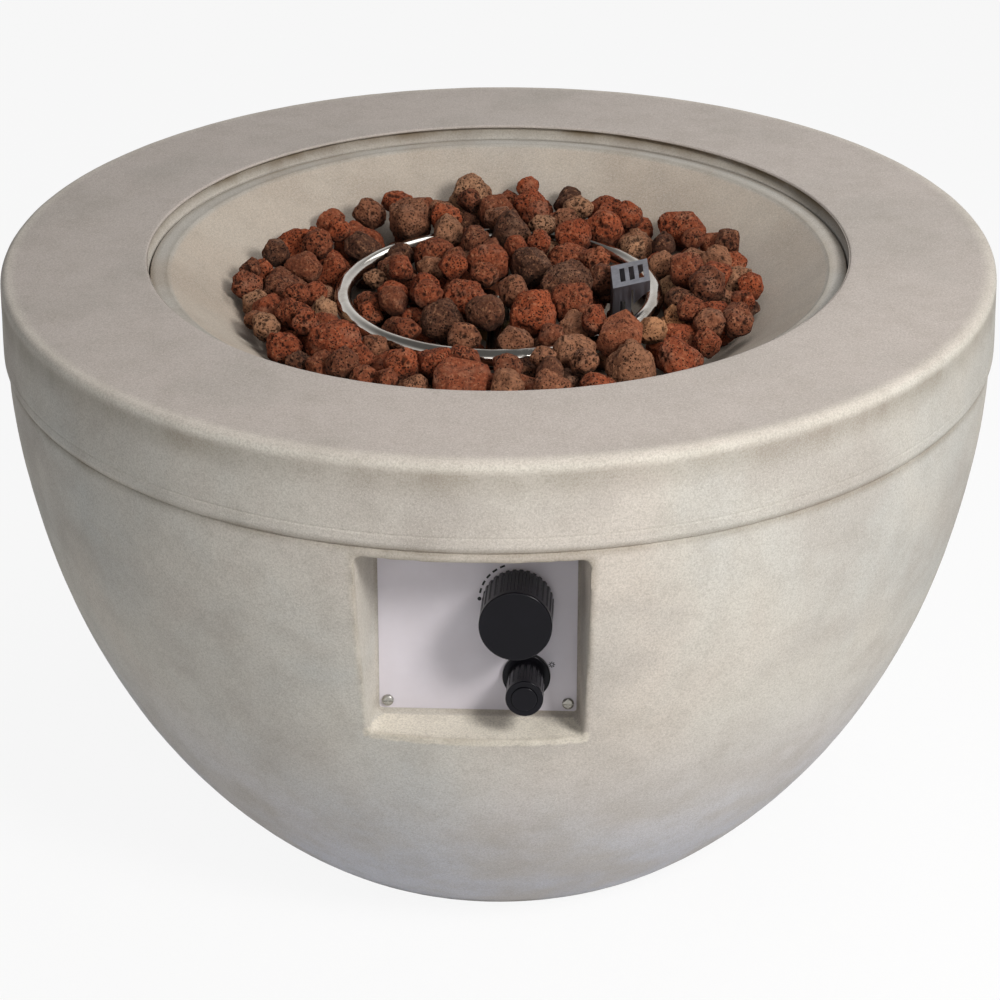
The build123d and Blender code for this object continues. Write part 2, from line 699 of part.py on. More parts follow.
def make_panel_screws():
    one = screw(PANEL_SCREW_R, PANEL_SCREW_L, PANEL_SCREW_HEAD_R, PANEL_SCREW_HEAD_H)
    return Compound([place * one for place in panel_corners()])


def make_panel_inserts():
    insert = pipe(INSERT_R, PANEL_SCREW_R + BORE_CLEARANCE, -PANEL_T - INSERT_L, -PANEL_T)
    return Compound([place * insert for place in panel_corners()])


# Valve and knob
def valve_screw_places():
    return [VALVE * Pos(side * VALVE_SCREW_SPAN / 2, 0, 0) for side in (-1, 1)]


CAVITY_FRONT = -PANEL_T - VALVE_BONNET
CAVITY_BACK = CAVITY_FRONT - VALVE_CAVITY_L
COLLAR_BACK = CAVITY_FRONT - BORE_CLEARANCE - SHAFT_COLLAR_T
FOLLOWER_BACK = COLLAR_BACK - BORE_CLEARANCE - FOLLOWER_T


def make_gas_valve():
    body = block(-VALVE_W / 2, VALVE_W / 2, -VALVE_H / 2, VALVE_H / 2, -PANEL_T - VALVE_L, -PANEL_T)
    body = fillet(body.edges().filter_by(Axis.Z), VALVE_EDGE_R)
    body += rod(VALVE_BOSS_R, -PANEL_T, VALVE_BOSS_OUT)
    body -= rod(SHAFT_R + TURN_CLEARANCE, CAVITY_FRONT, VALVE_BOSS_OUT)
    body -= rod(VALVE_CAVITY_R, CAVITY_BACK, CAVITY_FRONT)
    outlet = rod(UNION_R, -PANEL_T - VALVE_L - UNION_L, -PANEL_T - VALVE_L)
    body += outlet
    body -= rod(FEED_R - FEED_WALL, -PANEL_T - VALVE_L - UNION_L, CAVITY_BACK - UNION_R)
    body = VALVE * body
    for place in valve_screw_places():
        body -= place * rod(PANEL_SCREW_R + BORE_CLEARANCE, -PANEL_T - PANEL_SCREW_L, 0)
    return body


def make_valve_screws():
    one = screw(PANEL_SCREW_R, PANEL_SCREW_L, PANEL_SCREW_HEAD_R, PANEL_SCREW_HEAD_H)
    return Compound([place * one for place in valve_screw_places()])


def shaft_section(radius):
    """Round shaft with one flat for the knob."""
    return Circle(radius) - Pos(0, 2 * radius - SHAFT_FLAT) * Rectangle(4 * radius, 2 * radius)


KNOB_BACK = KNOB_TRAVEL + KNOB_STANDOFF
KNOB_FACE = KNOB_BACK + KNOB_L
SHAFT_END = KNOB_FACE - KNOB_FACE_T - LOOSE_CLEARANCE


def make_valve_shaft():
    flat_from = VALVE_BOSS_OUT + KNOB_TRAVEL
    shaft = rod(SHAFT_R, COLLAR_BACK - SHAFT_TAIL, flat_from)
    shaft += Pos(0, 0, flat_from) * extrude(shaft_section(SHAFT_R), SHAFT_END - flat_from)
    return VALVE * (shaft + rod(SHAFT_COLLAR_R, COLLAR_BACK, COLLAR_BACK + SHAFT_COLLAR_T))


def make_spring_follower():
    return VALVE * pipe(FOLLOWER_R, SHAFT_R + TURN_CLEARANCE, FOLLOWER_BACK, FOLLOWER_BACK + FOLLOWER_T)


def make_stem_spring():
    return VALVE * coil(STEM_SPRING_R, STEM_SPRING_WIRE_R, CAVITY_BACK, FOLLOWER_BACK)


def fluted(radius, z0, z1, count, flute_r):
    """Round grip from z0 to z1 with grooves cut along its side."""
    flute = Pos(radius + flute_r * FLUTE_SHALLOW, 0) * Circle(flute_r)
    section = Circle(radius) - [Rot(0, 0, 360 / count * step) * flute for step in range(count)]
    return Pos(0, 0, z0) * extrude(section, z1 - z0)


def make_control_knob():
    band_z = KNOB_FACE - KNOB_FACE_BAND
    band = rod(KNOB_R, band_z, KNOB_FACE)
    band = fillet(band.edges().sort_by(Axis.Z)[-1], KNOB_EDGE_R)
    knob = band + fluted(KNOB_R, KNOB_BACK, band_z, KNOB_FLUTE_COUNT, KNOB_FLUTE_R)
    knob -= rod(KNOB_R - KNOB_WALL, KNOB_BACK, KNOB_FACE - KNOB_FACE_T)
    hub_back = KNOB_BACK + KNOB_HUB_RECESS
    knob += rod(KNOB_HUB_R, hub_back, KNOB_FACE - KNOB_FACE_T)
    bore = extrude(shaft_section(SHAFT_R + BORE_CLEARANCE), KNOB_FACE - KNOB_FACE_T - hub_back)
    return VALVE * (knob - Pos(0, 0, hub_back) * bore)


def make_gas_inlet():
    fitting = hexagon(INLET_HEX_AF, 0, INLET_HEX_L)
    nose_z = INLET_HEX_L + INLET_L
    fitting += rod(INLET_R, INLET_HEX_L, nose_z)
    tip_r = INLET_BORE_R + INLET_TIP_W
    fitting += Pos(0, 0, nose_z + INLET_CONE / 2) * Cone(INLET_CONE_R, tip_r, INLET_CONE)
    fitting -= rod(INLET_BORE_R, 0, nose_z + INLET_CONE)
    return VALVE * Pos(-VALVE_W / 2, 0, -PANEL_T - INLET_AT) * Rot(0, -90, 0) * fitting


# Igniter
HOUSING_BACK = -IGNITER_BEHIND
CELL_BACK = HOUSING_BACK + IGNITER_END_WALL + BATTERY_SPRING_GAP
CELL_FRONT = CELL_BACK + BATTERY_L
BUTTON_FACE = CAP_OUT + BUTTON_PROUD
CAP_SHOULDER = CAP_OUT - CAP_FACE_T
BUTTON_BACK = CAP_SHOULDER - BORE_CLEARANCE - BUTTON_FLANGE_T
STUB_END = BUTTON_BACK - BUTTON_TRAVEL - PRESS_MARGIN


def make_igniter_housing():
    floor_z = HOUSING_BACK + IGNITER_END_WALL
    housing = rod(IGNITER_R, HOUSING_BACK, STUB_END)
    housing -= rod(IGNITER_BORE_R, floor_z, STUB_END)
    half_t = TAB_T / 2 + BORE_CLEARANCE
    half_w = TAB_W / 2 + BORE_CLEARANCE
    for side in (-1, 1):
        x = side * TAB_SPAN / 2
        housing -= block(x - half_t, x + half_t, -half_w, half_w, HOUSING_BACK, floor_z)
    return IGNITER * housing


def make_igniter_bezel():
    flange = rod(BEZEL_R, 0, BEZEL_T)
    flange = fillet(flange.edges().sort_by(Axis.Z)[-1], BEZEL_EDGE_R)
    return IGNITER * (flange - rod(IGNITER_R + BORE_CLEARANCE, 0, BEZEL_T))


def make_igniter_nut():
    nut = hexagon(IGNITER_NUT_AF, -PANEL_T - IGNITER_NUT_H, -PANEL_T)
    return IGNITER * (nut - rod(IGNITER_R + BORE_CLEARANCE, -PANEL_T - IGNITER_NUT_H, -PANEL_T))


def make_igniter_cap():
    back = BEZEL_T + CAP_STANDOFF
    band_z = CAP_OUT - CAP_FACE_BAND
    band = rod(CAP_R, band_z, CAP_OUT)
    band = fillet(band.edges().sort_by(Axis.Z)[-1], CAP_EDGE_R)
    cap = band + fluted(CAP_R, back, band_z, CAP_RIB_COUNT, CAP_RIB_R)
    cap -= rod(IGNITER_R + BORE_CLEARANCE, back, STUB_END + BORE_CLEARANCE)
    cap -= rod(BUTTON_FLANGE_R + LOOSE_CLEARANCE, STUB_END, CAP_SHOULDER)
    return IGNITER * (cap - rod(BUTTON_R + LOOSE_CLEARANCE, CAP_SHOULDER, CAP_OUT))


def make_igniter_button():
    face = rod(BUTTON_R, BUTTON_BACK, BUTTON_FACE)
    face = fillet(face.edges().sort_by(Axis.Z)[-1], CAP_EDGE_R)
    return IGNITER * (face + rod(BUTTON_FLANGE_R, BUTTON_BACK, BUTTON_BACK + BUTTON_FLANGE_T))


def make_battery():
    cell = rod(BATTERY_R, CELL_BACK, CELL_FRONT)
    cell = fillet(cell.edges().filter_by(GeomType.CIRCLE), CAP_EDGE_R)
    return IGNITER * (cell + rod(BATTERY_NUB_R, CELL_FRONT, CELL_FRONT + BATTERY_NUB_H))


def make_cell_spring():
    z0 = HOUSING_BACK + IGNITER_END_WALL
    return IGNITER * coil(CELL_SPRING_R, CELL_SPRING_WIRE_R, z0, CELL_BACK)


def make_button_spring():
    return IGNITER * coil(CELL_SPRING_R, CELL_SPRING_WIRE_R, CELL_FRONT, BUTTON_BACK)


def make_igniter_terminals():
    tabs = []
    for side in (-1, 1):
        x = side * TAB_SPAN / 2
        z1 = HOUSING_BACK + IGNITER_END_WALL
        tabs.append(IGNITER * block(x - TAB_T / 2, x + TAB_T / 2, -TAB_W / 2, TAB_W / 2, z1 - TAB_L, z1))
    return Compound(tabs)


# Lava rock: each rock is settled as a ball, then cut to a chunk by flat faces
def dish_slope(r):
    """Slope angle of the dish's inner face at radius r."""
    across = (np.clip(r, KNEE_START_R, KNEE_END_R) - KNEE_START_R) / DISH_KNEE_R
    return np.arcsin(across)


def dish_height(r):
    """Height of the dish's inner face at radius r."""
    knee = DISH_FLOOR_Z + DISH_KNEE_R * (1 - np.cos(dish_slope(r)))
    return knee + np.clip(r - KNEE_END_R, 0, None) * math.tan(SLOPE)


GUARD_MIDDLE = np.array([GUARD_X, GUARD_Y])
GUARD_AXES = np.array(
    [
        [math.cos(math.radians(GUARD_TURN)), math.sin(math.radians(GUARD_TURN))],
        [-math.sin(math.radians(GUARD_TURN)), math.cos(math.radians(GUARD_TURN))],
    ]
)
GUARD_LOW = np.array([-GUARD_W / 2 - GUARD_FOOT, -GUARD_D / 2])
GUARD_HIGH = np.array([GUARD_W / 2, GUARD_D / 2])


def guard_gap(xy):
    """How far points lie outside each of the four sides of the guard's footprint."""
    local = (xy - GUARD_MIDDLE) @ GUARD_AXES.T
    return np.concatenate([GUARD_LOW - local, local - GUARD_HIGH], axis=-1)


def bed_top(xy):
    """Height that the rocks are heaped to: they leave a trough for the ring, except on a few arcs."""
    r = np.hypot(xy[:, 0], xy[:, 1])
    heading = np.degrees(np.arctan2(xy[:, 1], xy[:, 0])) % 360
    fall = np.clip((r - RING_R) / (ROCK_BED_R - RING_R), 0, 1)
    heap = ROCK_HEAP - (ROCK_HEAP - ROCK_EDGE) * fall
    trough = RING_LIFT + TUBE_R + ROCK_TROUGH_SLOPE * np.abs(r - RING_R)
    covered = np.zeros(len(xy), bool)
    for start, end in ROCK_COVERED_ARCS:
        covered |= (heading > start) & (heading < end)
    return DISH_FLOOR_Z + np.where(covered, heap, np.minimum(heap, trough))


def settle_rocks(rng):
    """Drop balls one by one, each at the lowest of a few tries, until the bed is full."""
    rocks = np.zeros((0, 4))
    misses = 0
    while misses < ROCK_MISS_COUNT:
        size = rng.uniform(ROCK_MIN_R, ROCK_MAX_R)
        r = (ROCK_BED_R - size) * np.sqrt(rng.uniform(0, 1, ROCK_TRY_COUNT))
        turn = rng.uniform(0, 2 * math.pi, ROCK_TRY_COUNT)
        xy = np.stack([r * np.cos(turn), r * np.sin(turn)], axis=-1)
        z = dish_height(r) + size / np.cos(dish_slope(r))
        over_hub = r < HUB_R
        beside_hub = ~over_hub & (r < size + HUB_R)
        z = np.maximum(z, np.where(over_hub, RING_Z + HUB_UP + size, 0))
        bar = (size + CROSS_R) ** 2 - xy[:, 0] ** 2
        on_bar = (bar > 0) & (np.abs(xy[:, 1]) < RING_R)
        z = np.maximum(z, np.where(on_bar, RING_Z - CROSS_DROP + np.sqrt(np.clip(bar, 0, None)), 0))
        for rock in rocks:
            reach = (size + rock[3]) ** 2 - ((xy - rock[:2]) ** 2).sum(axis=1)
            z = np.maximum(z, np.where(reach > 0, rock[2] + np.sqrt(np.clip(reach, 0, None)), 0))
        rim = (size + TUBE_R) ** 2 - (r - RING_R) ** 2
        z = np.maximum(z, np.where(rim > 0, RING_Z + np.sqrt(np.clip(rim, 0, None)), 0))
        near_guard = guard_gap(xy).max(axis=-1) < size * ROCK_BESIDE_GUARD
        blocked = near_guard | beside_hub
        z = np.where(blocked | (z + size * ROCK_CROWN > bed_top(xy)), np.inf, z)
        best = int(np.argmin(z))
        if math.isinf(z[best]):
            misses += 1
            continue
        rocks = np.vstack([rocks, [xy[best, 0], xy[best, 1], z[best], size]])
    return rocks


def rock_contacts(index, rocks):
    """Directions from a rock's middle to the points where it rests on something."""
    middle = rocks[index, :3]
    size = rocks[index, 3]
    r = math.hypot(middle[0], middle[1])
    out = np.array([middle[0], middle[1], 0]) / max(r, 1.0)
    slope = float(dish_slope(r))
    below = out * math.sin(slope) - np.array([0, 0, math.cos(slope)])
    others = np.delete(rocks, index, axis=0)
    near = np.linalg.norm(others[:, :3] - middle, axis=1) < size + others[:, 3] + ROCK_GAP
    spots = [*others[near, :3], out * RING_R + np.array([0, 0, RING_Z])]
    spots.append(np.array([0, middle[1], RING_Z - CROSS_DROP]))
    ways = [(spot - middle) / np.linalg.norm(spot - middle) for spot in spots]
    return np.array([below, *ways])


def rock_planes(index, rocks, rng):
    """Half-spaces that bound one rock, as rows of outward normal and signed offset."""
    middle = rocks[index, :3]
    size = rocks[index, 3]
    planes = []

    def add(normal, point):
        planes.append([*normal, -float(np.dot(normal, point))])

    # Its own broken faces, none of which cuts away a point that carries it
    touches = rock_contacts(index, rocks)
    stretch = rng.uniform(*ROCK_STRETCH, 3)
    spin = rng.uniform(0, 2 * math.pi)
    for step in range(ROCK_FACE_COUNT):
        up = 1 - (2 * step + 1) / ROCK_FACE_COUNT + rng.uniform(-0.5, 0.5) / ROCK_FACE_COUNT
        turn = spin + step * GOLDEN_ANGLE + rng.uniform(-0.3, 0.3)
        flat = math.sqrt(1 - up * up)
        normal = np.array([flat * math.cos(turn), flat * math.sin(turn), up])
        cut = rng.uniform(*ROCK_CUTS) * np.linalg.norm(stretch * normal)
        add(normal, middle + normal * size * max(cut, *(touches @ normal)))
    # Its neighbours, each meeting it on a shared face
    for other in np.delete(rocks, index, axis=0):
        away = other[:3] - middle
        distance = np.linalg.norm(away)
        if distance < ROCK_NEAR * (size + other[3]):
            share = distance * size / (size + other[3]) - ROCK_GAP / 2
            add(away / distance, middle + away / distance * share)
    # The dish under it
    r = math.hypot(middle[0], middle[1])
    heading = math.atan2(middle[1], middle[0])
    for step_r in (-ROCK_MIN_R, 0, ROCK_MIN_R):
        at_r = max(r + step_r, 1.0)
        slope = float(dish_slope(at_r))
        for step_turn in (-ROCK_MIN_R, 0, ROCK_MIN_R):
            turn = heading + step_turn / max(r, HUB_R)
            out = np.array([math.cos(turn), math.sin(turn), 0])
            normal = out * math.sin(slope) - np.array([0, 0, math.cos(slope)])
            foot = out * at_r + np.array([0, 0, float(dish_height(at_r))])
            add(normal, foot - normal * (ROCK_GAP + ROCK_SAG))
    # The burner ring, its cross tube, its hub and the guard beside it
    ring_steps = np.linspace(-0.24, 0.24, 7) if r < RING_R else [0.0]
    for step in ring_steps:
        turn = heading + step
        spot = np.array([RING_R * math.cos(turn), RING_R * math.sin(turn), RING_Z])
        along = np.array([-math.sin(turn), math.cos(turn), 0])
        away = spot - middle
        away = away - along * np.dot(away, along)
        away = away / np.linalg.norm(away)
        add(away, spot - away * (TUBE_R + ROCK_GAP))
    spot = np.array([0, np.clip(middle[1], -RING_R, RING_R), RING_Z - CROSS_DROP])
    away = (spot - middle) / np.linalg.norm(spot - middle)
    add(away, spot - away * (CROSS_R + ROCK_GAP))
    hub_clear = max(HUB_R, STEM_NUT_AF / math.sqrt(3)) + ROCK_GAP
    hub_top = RING_Z + HUB_UP + ROCK_GAP
    if r < HUB_R and middle[2] > hub_top:
        add(np.array([0, 0, -1.0]), np.array([0, 0, hub_top]))
    else:
        outwards = np.array([math.cos(heading), math.sin(heading), 0])
        add(-outwards, outwards * hub_clear)
    gaps = guard_gap(middle[None, :2])[0]
    side = int(np.argmax(gaps))
    normal = np.zeros(3)
    normal[:2] = GUARD_AXES[side % 2] * (1 if side < 2 else -1)
    add(normal, middle + normal * (gaps[side] - ROCK_GAP))
    return np.array(planes)


def make_rocks():
    """Rocks inside and outside the burner ring, as two lists of solids."""
    rng = np.random.default_rng(ROCK_SEED)
    rocks = settle_rocks(rng)
    inside, outside = [], []
    for index in range(len(rocks)):
        planes = rock_planes(index, rocks, rng)
        points = HalfspaceIntersection(planes, rocks[index, :3]).intersections
        keep = np.unique(np.round(points, 1), axis=0, return_index=True)[1]
        points = points[keep]
        chunk = ConvexPolyhedron([tuple(map(float, p)) for p in points])
        group = inside if math.hypot(rocks[index, 0], rocks[index, 1]) < RING_R else outside
        group.append(chunk.solid())
    print(f"rocks: {len(inside)} inside the ring, {len(outside)} outside")
    return inside, outside


def main():
    rocks_inside, rocks_outside = make_rocks()
    nodes = {
        "bowl_shell": make_bowl_shell(),
        "rim_ring": make_rim_ring(),
        "fire_dish": make_fire_dish(),
        "burner_ring": make_burner_ring(),
        "burner_stem": make_burner_stem(),
        "stem_lock_nuts": make_stem_nuts(),
        "stem_washer": make_stem_washer(),
        "air_mixer": make_air_mixer(),
        "gas_orifice": make_gas_orifice(),
        "tube_nuts": make_union_nuts(),
        "gas_feed_tube": make_gas_feed_tube(),
        "spark_guard": make_spark_guard(),
        "guard_screws": make_guard_screws(),
        "electrode_ceramic": make_electrode_ceramic(),
        "electrode_rod": make_electrode_rod(),
        "thermocouple": make_thermocouple(),
        "probe_lock_nuts": make_probe_nuts(),
        "thermocouple_lead": make_thermocouple_lead(),
        "thermocouple_nut": make_lead_nut(),
        "control_panel": make_control_panel(),
        "panel_screws": make_panel_screws(),
        "panel_inserts": make_panel_inserts(),
        "gas_valve": make_gas_valve(),
        "valve_screws": make_valve_screws(),
        "valve_shaft": make_valve_shaft(),
        "spring_follower": make_spring_follower(),
        "stem_spring": make_stem_spring(),
        "control_knob": make_control_knob(),
        "gas_inlet": make_gas_inlet(),
        "igniter_housing": make_igniter_housing(),
        "igniter_bezel": make_igniter_bezel(),
        "igniter_nut": make_igniter_nut(),
        "igniter_cap": make_igniter_cap(),
        "igniter_button": make_igniter_button(),
        "battery": make_battery(),
        "cell_spring": make_cell_spring(),
        "button_spring": make_button_spring(),
        "igniter_terminals": make_igniter_terminals(),
        "lava_rocks_inside": Compound(rocks_inside),
        "lava_rocks_outside": Compound(rocks_outside),
    }
    os.makedirs("parts", exist_ok=True)
    for name, shape in nodes.items():
        export_step(shape, f"parts/{name}.step")


main()
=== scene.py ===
import json
import math

import bmesh
import bpy
import numpy as np
from mathutils import Matrix, Vector, noise


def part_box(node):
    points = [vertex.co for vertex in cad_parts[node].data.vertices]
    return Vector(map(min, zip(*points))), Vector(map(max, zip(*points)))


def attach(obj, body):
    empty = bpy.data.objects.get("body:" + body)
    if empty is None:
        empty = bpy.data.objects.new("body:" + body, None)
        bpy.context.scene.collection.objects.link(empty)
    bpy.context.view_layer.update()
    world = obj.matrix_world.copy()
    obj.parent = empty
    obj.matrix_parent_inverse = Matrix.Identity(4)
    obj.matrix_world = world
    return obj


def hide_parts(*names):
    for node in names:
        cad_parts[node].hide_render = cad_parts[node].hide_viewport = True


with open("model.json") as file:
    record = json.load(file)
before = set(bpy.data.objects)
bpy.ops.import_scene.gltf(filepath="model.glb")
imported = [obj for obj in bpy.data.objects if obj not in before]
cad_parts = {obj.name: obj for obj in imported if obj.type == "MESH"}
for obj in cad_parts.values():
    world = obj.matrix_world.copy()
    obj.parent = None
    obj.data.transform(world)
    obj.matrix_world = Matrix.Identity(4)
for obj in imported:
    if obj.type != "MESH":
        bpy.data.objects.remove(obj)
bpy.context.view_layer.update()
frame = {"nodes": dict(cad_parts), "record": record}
nodes = frame["nodes"]

# Everything is in metres, in the part's own frame: +Z up, the control niche faces -Y.
SEAM_Z = 0.379
RIM_TOP_Z = 0.440
RIM_INNER_R = 0.250
LEDGE_Z = 0.429
LIP_R = 0.237
PANEL_LEAN = math.radians(8.0)
PANEL_T = 0.0012
VALVE_AT = (0.026, 0.011)

# Camera, from the photograph's perspective
CAMERA_AT = (0.0835, -1.6479, 1.0987)
CAMERA_TURN = math.radians(2.9)
CAMERA_PITCH = math.radians(27.78)
CAMERA_ROLL = -0.0065
CAMERA_LENS = 88.5


def rgb(red, green, blue):
    """Scene-linear colour of an sRGB colour given as 0 to 255."""
    def linear(value):
        value = value / 255
        return value / 12.92 if value <= 0.04045 else ((value + 0.055) / 1.055) ** 2.4
    return (linear(red), linear(green), linear(blue), 1.0)


class Look:
    """A node material while it is being built."""

    def __init__(self, name):
        self.material = bpy.data.materials.new(name)
        self.material.use_nodes = True
        self.tree = self.material.node_tree
        self.shader = self.tree.nodes["Principled BSDF"]
        self.place = self.add("ShaderNodeTexCoord").outputs["Object"]

    def add(self, kind, **values):
        node = self.tree.nodes.new(kind)
        for key, value in values.items():
            setattr(node, key, value)
        return node

    def put(self, socket, value):
        """Links a socket, or sets it where value is a number or a colour."""
        if isinstance(value, bpy.types.NodeSocket):
            self.tree.links.new(value, socket)
        else:
            socket.default_value = value

    def set(self, **values):
        """Sets or links sockets of the shader, named with _ for a space."""
        for key, value in values.items():
            self.put(self.shader.inputs[key.replace("_", " ")], value)
        return self.material

    def stretch(self, x, y, z):
        node = self.add("ShaderNodeMapping")
        self.put(node.inputs["Vector"], self.place)
        node.inputs["Scale"].default_value = (x, y, z)
        return node.outputs["Vector"]

    def noise(self, scale, detail=4.0, roughness=0.55, place=None, distortion=0.0):
        node = self.add("ShaderNodeTexNoise")
        self.put(node.inputs["Vector"], place or self.place)
        node.inputs["Scale"].default_value = scale
        node.inputs["Detail"].default_value = detail
        node.inputs["Roughness"].default_value = roughness
        node.inputs["Distortion"].default_value = distortion
        return node.outputs["Fac"]

    def cells(self, scale, feature="F1", place=None):
        node = self.add("ShaderNodeTexVoronoi", feature=feature)
        self.put(node.inputs["Vector"], place or self.place)
        node.inputs["Scale"].default_value = scale
        return node.outputs["Distance"]

    def math(self, operation, a, b=0.0, c=0.0):
        node = self.add("ShaderNodeMath", operation=operation)
        for socket, value in zip(node.inputs, (a, b, c)):
            self.put(socket, value)
        return node.outputs[0]

    def fade(self, value, low, high, to_low=0.0, to_high=1.0):
        """Smooth step of value from low to high."""
        node = self.add("ShaderNodeMapRange", interpolation_type="SMOOTHSTEP")
        for key, number in (("Value", value), ("From Min", low), ("From Max", high),
                            ("To Min", to_low), ("To Max", to_high)):
            self.put(node.inputs[key], number)
        return node.outputs["Result"]

    def ramp(self, value, *stops):
        node = self.add("ShaderNodeValToRGB")
        self.put(node.inputs["Fac"], value)
        elements = node.color_ramp.elements
        while len(elements) < len(stops):
            elements.new(1.0)
        for element, (position, colour) in zip(elements, stops):
            element.position = position
            element.color = colour
        return node.outputs["Color"]

    def mix(self, share, a, b, blend="MIX"):
        node = self.add("ShaderNodeMix", data_type="RGBA", blend_type=blend)
        self.put(node.inputs[0], share)
        self.put(node.inputs[6], a)
        self.put(node.inputs[7], b)
        return node.outputs[2]

    def height(self):
        """The z of the shaded point."""
        node = self.add("ShaderNodeSeparateXYZ")
        self.put(node.inputs[0], self.place)
        return node.outputs["Z"]

    def attribute(self, name):
        return self.add("ShaderNodeAttribute", attribute_name=name).outputs["Fac"]

    def bump(self, height, strength, distance, below=None):
        node = self.add("ShaderNodeBump")
        node.inputs["Strength"].default_value = strength
        node.inputs["Distance"].default_value = distance
        self.put(node.inputs["Height"], height)
        if below:
            self.put(node.inputs["Normal"], below)
        return node.outputs["Normal"]


# Materials
def concrete(name, pale, warm, cool, blot, painted_light_band):
    """Cast concrete: soft clouds of tone and sandy grain.

    It is browner where its wash and shade attribute is high: real brown wash and painted shade. It is
    pale cream where its light and rub attribute is high: painted light and rubbed paleness.
    A second tone, painted light or shade, comes in between two heights: (colour, share, from z, to z).
    """
    look = Look(name)
    clouds = look.noise(4.2, 4.0, 0.55, distortion=0.5)
    blots = look.noise(9.0, 4.0, 0.55, look.stretch(1.0, 1.0, 1.3))
    mottle = look.noise(40.0, 6.0, 0.66)
    grain = look.noise(760.0, 3.0, 0.7)
    sand = look.noise(1500.0, 2.0, 0.6)
    tone = look.ramp(clouds, (0.36, cool), (0.5, pale), (0.62, warm))
    # Painted light or shade by height: a darker rim top, a bluish lower bowl from floor bounce, a paler
    # dish ledge.
    colour, share, start, end = painted_light_band
    tone = look.mix(look.fade(look.height(), start, end, 0.0, share), tone, colour)
    tone = look.mix(look.fade(blots, 0.44, 0.66, 0.0, 0.62), tone, blot)
    # Painted light on the niche's sill and left wall; painted highlight and rubbed paleness on the rim's
    # outer edge.
    tone = look.mix(look.attribute("painted_light_and_rub"), tone, rgb(236, 229, 214))
    tone = look.mix(look.fade(mottle, 0.42, 0.72, 0.0, 0.24), tone, rgb(158, 149, 138))
    tone = look.mix(look.fade(grain, 0.36, 0.7, 0.0, 0.38), tone, rgb(132, 124, 112))
    tone = look.mix(look.fade(sand, 0.5, 0.75, 0.0, 0.5), tone, rgb(232, 227, 218))
    patchy = look.fade(look.noise(17.0, 5.0, 0.6), 0.34, 0.66, 0.45, 1.0)
    # Real brown wash, and painted shade at the bowl's foot, in the rim's inner cove and in the dish's gap
    # to the rim.
    tone = look.mix(look.math("MULTIPLY", look.attribute("wash_and_painted_shade"), patchy), tone, rgb(118, 103, 80))
    relief = look.math("ADD", look.math("MULTIPLY", grain, 0.6), look.math("MULTIPLY", mottle, 1.6))
    normal = look.bump(relief, 0.4, 0.0006)
    normal = look.bump(sand, 0.3, 0.0002, normal)
    rough = look.fade(mottle, 0.3, 0.7, 0.78, 0.93)
    return look.set(Base_Color=tone, Roughness=rough, Normal=normal, Specular_IOR_Level=0.3)


def steel(name, colour, dark, rough_low, rough_high, scale, brush=None):
    """Bright sheet or tube with rolling marks and a little staining."""
    look = Look(name)
    place = look.stretch(*brush) if brush else look.place
    marks = look.noise(scale, 6.0, 0.6, place)
    stain = look.noise(38.0, 4.0)
    tone = look.mix(look.fade(stain, 0.45, 0.75, 0.0, 0.5), colour, dark)
    rough = look.fade(marks, 0.3, 0.7, rough_low, rough_high)
    normal = look.bump(marks, 0.06, 0.0002)
    return look.set(Base_Color=tone, Metallic=1.0, Roughness=rough, Normal=normal)


def plastic(name, colour, worn, rough_low, rough_high, gloss):
    """Moulded plastic with a faint texture and finger marks."""
    look = Look(name)
    smear = look.noise(46.0, 4.0, 0.5)
    grain = look.noise(1600.0, 2.0)
    tone = look.mix(look.fade(smear, 0.4, 0.8, 0.0, 0.6), colour, worn)
    rough = look.fade(smear, 0.35, 0.75, rough_low, rough_high)
    normal = look.bump(grain, 0.05, 0.0001)
    return look.set(Base_Color=tone, Roughness=rough, Normal=normal, Specular_IOR_Level=gloss)


def powder_coat(name, colour, dusty):
    look = Look(name)
    clouds = look.noise(22.0, 5.0, 0.6)
    peel = look.noise(900.0, 2.0)
    tone = look.mix(look.fade(clouds, 0.35, 0.75, 0.0, 0.7), colour, dusty)
    rough = look.fade(clouds, 0.3, 0.7, 0.32, 0.46)
    normal = look.bump(peel, 0.06, 0.0001)
    return look.set(Base_Color=tone, Roughness=rough, Normal=normal)


def unglazed(name, colour, sooty):
    look = Look(name)
    clouds = look.noise(60.0, 5.0, 0.6)
    grain = look.noise(1200.0, 3.0)
    tone = look.mix(look.fade(clouds, 0.4, 0.8, 0.0, 0.6), colour, sooty)
    normal = look.bump(grain, 0.15, 0.0001)
    return look.set(Base_Color=tone, Roughness=look.fade(grain, 0.3, 0.7, 0.45, 0.65), Normal=normal)


# Spreads the stones' tones into porosities that don't follow them.
POROSITY_SHUFFLE = 7.31


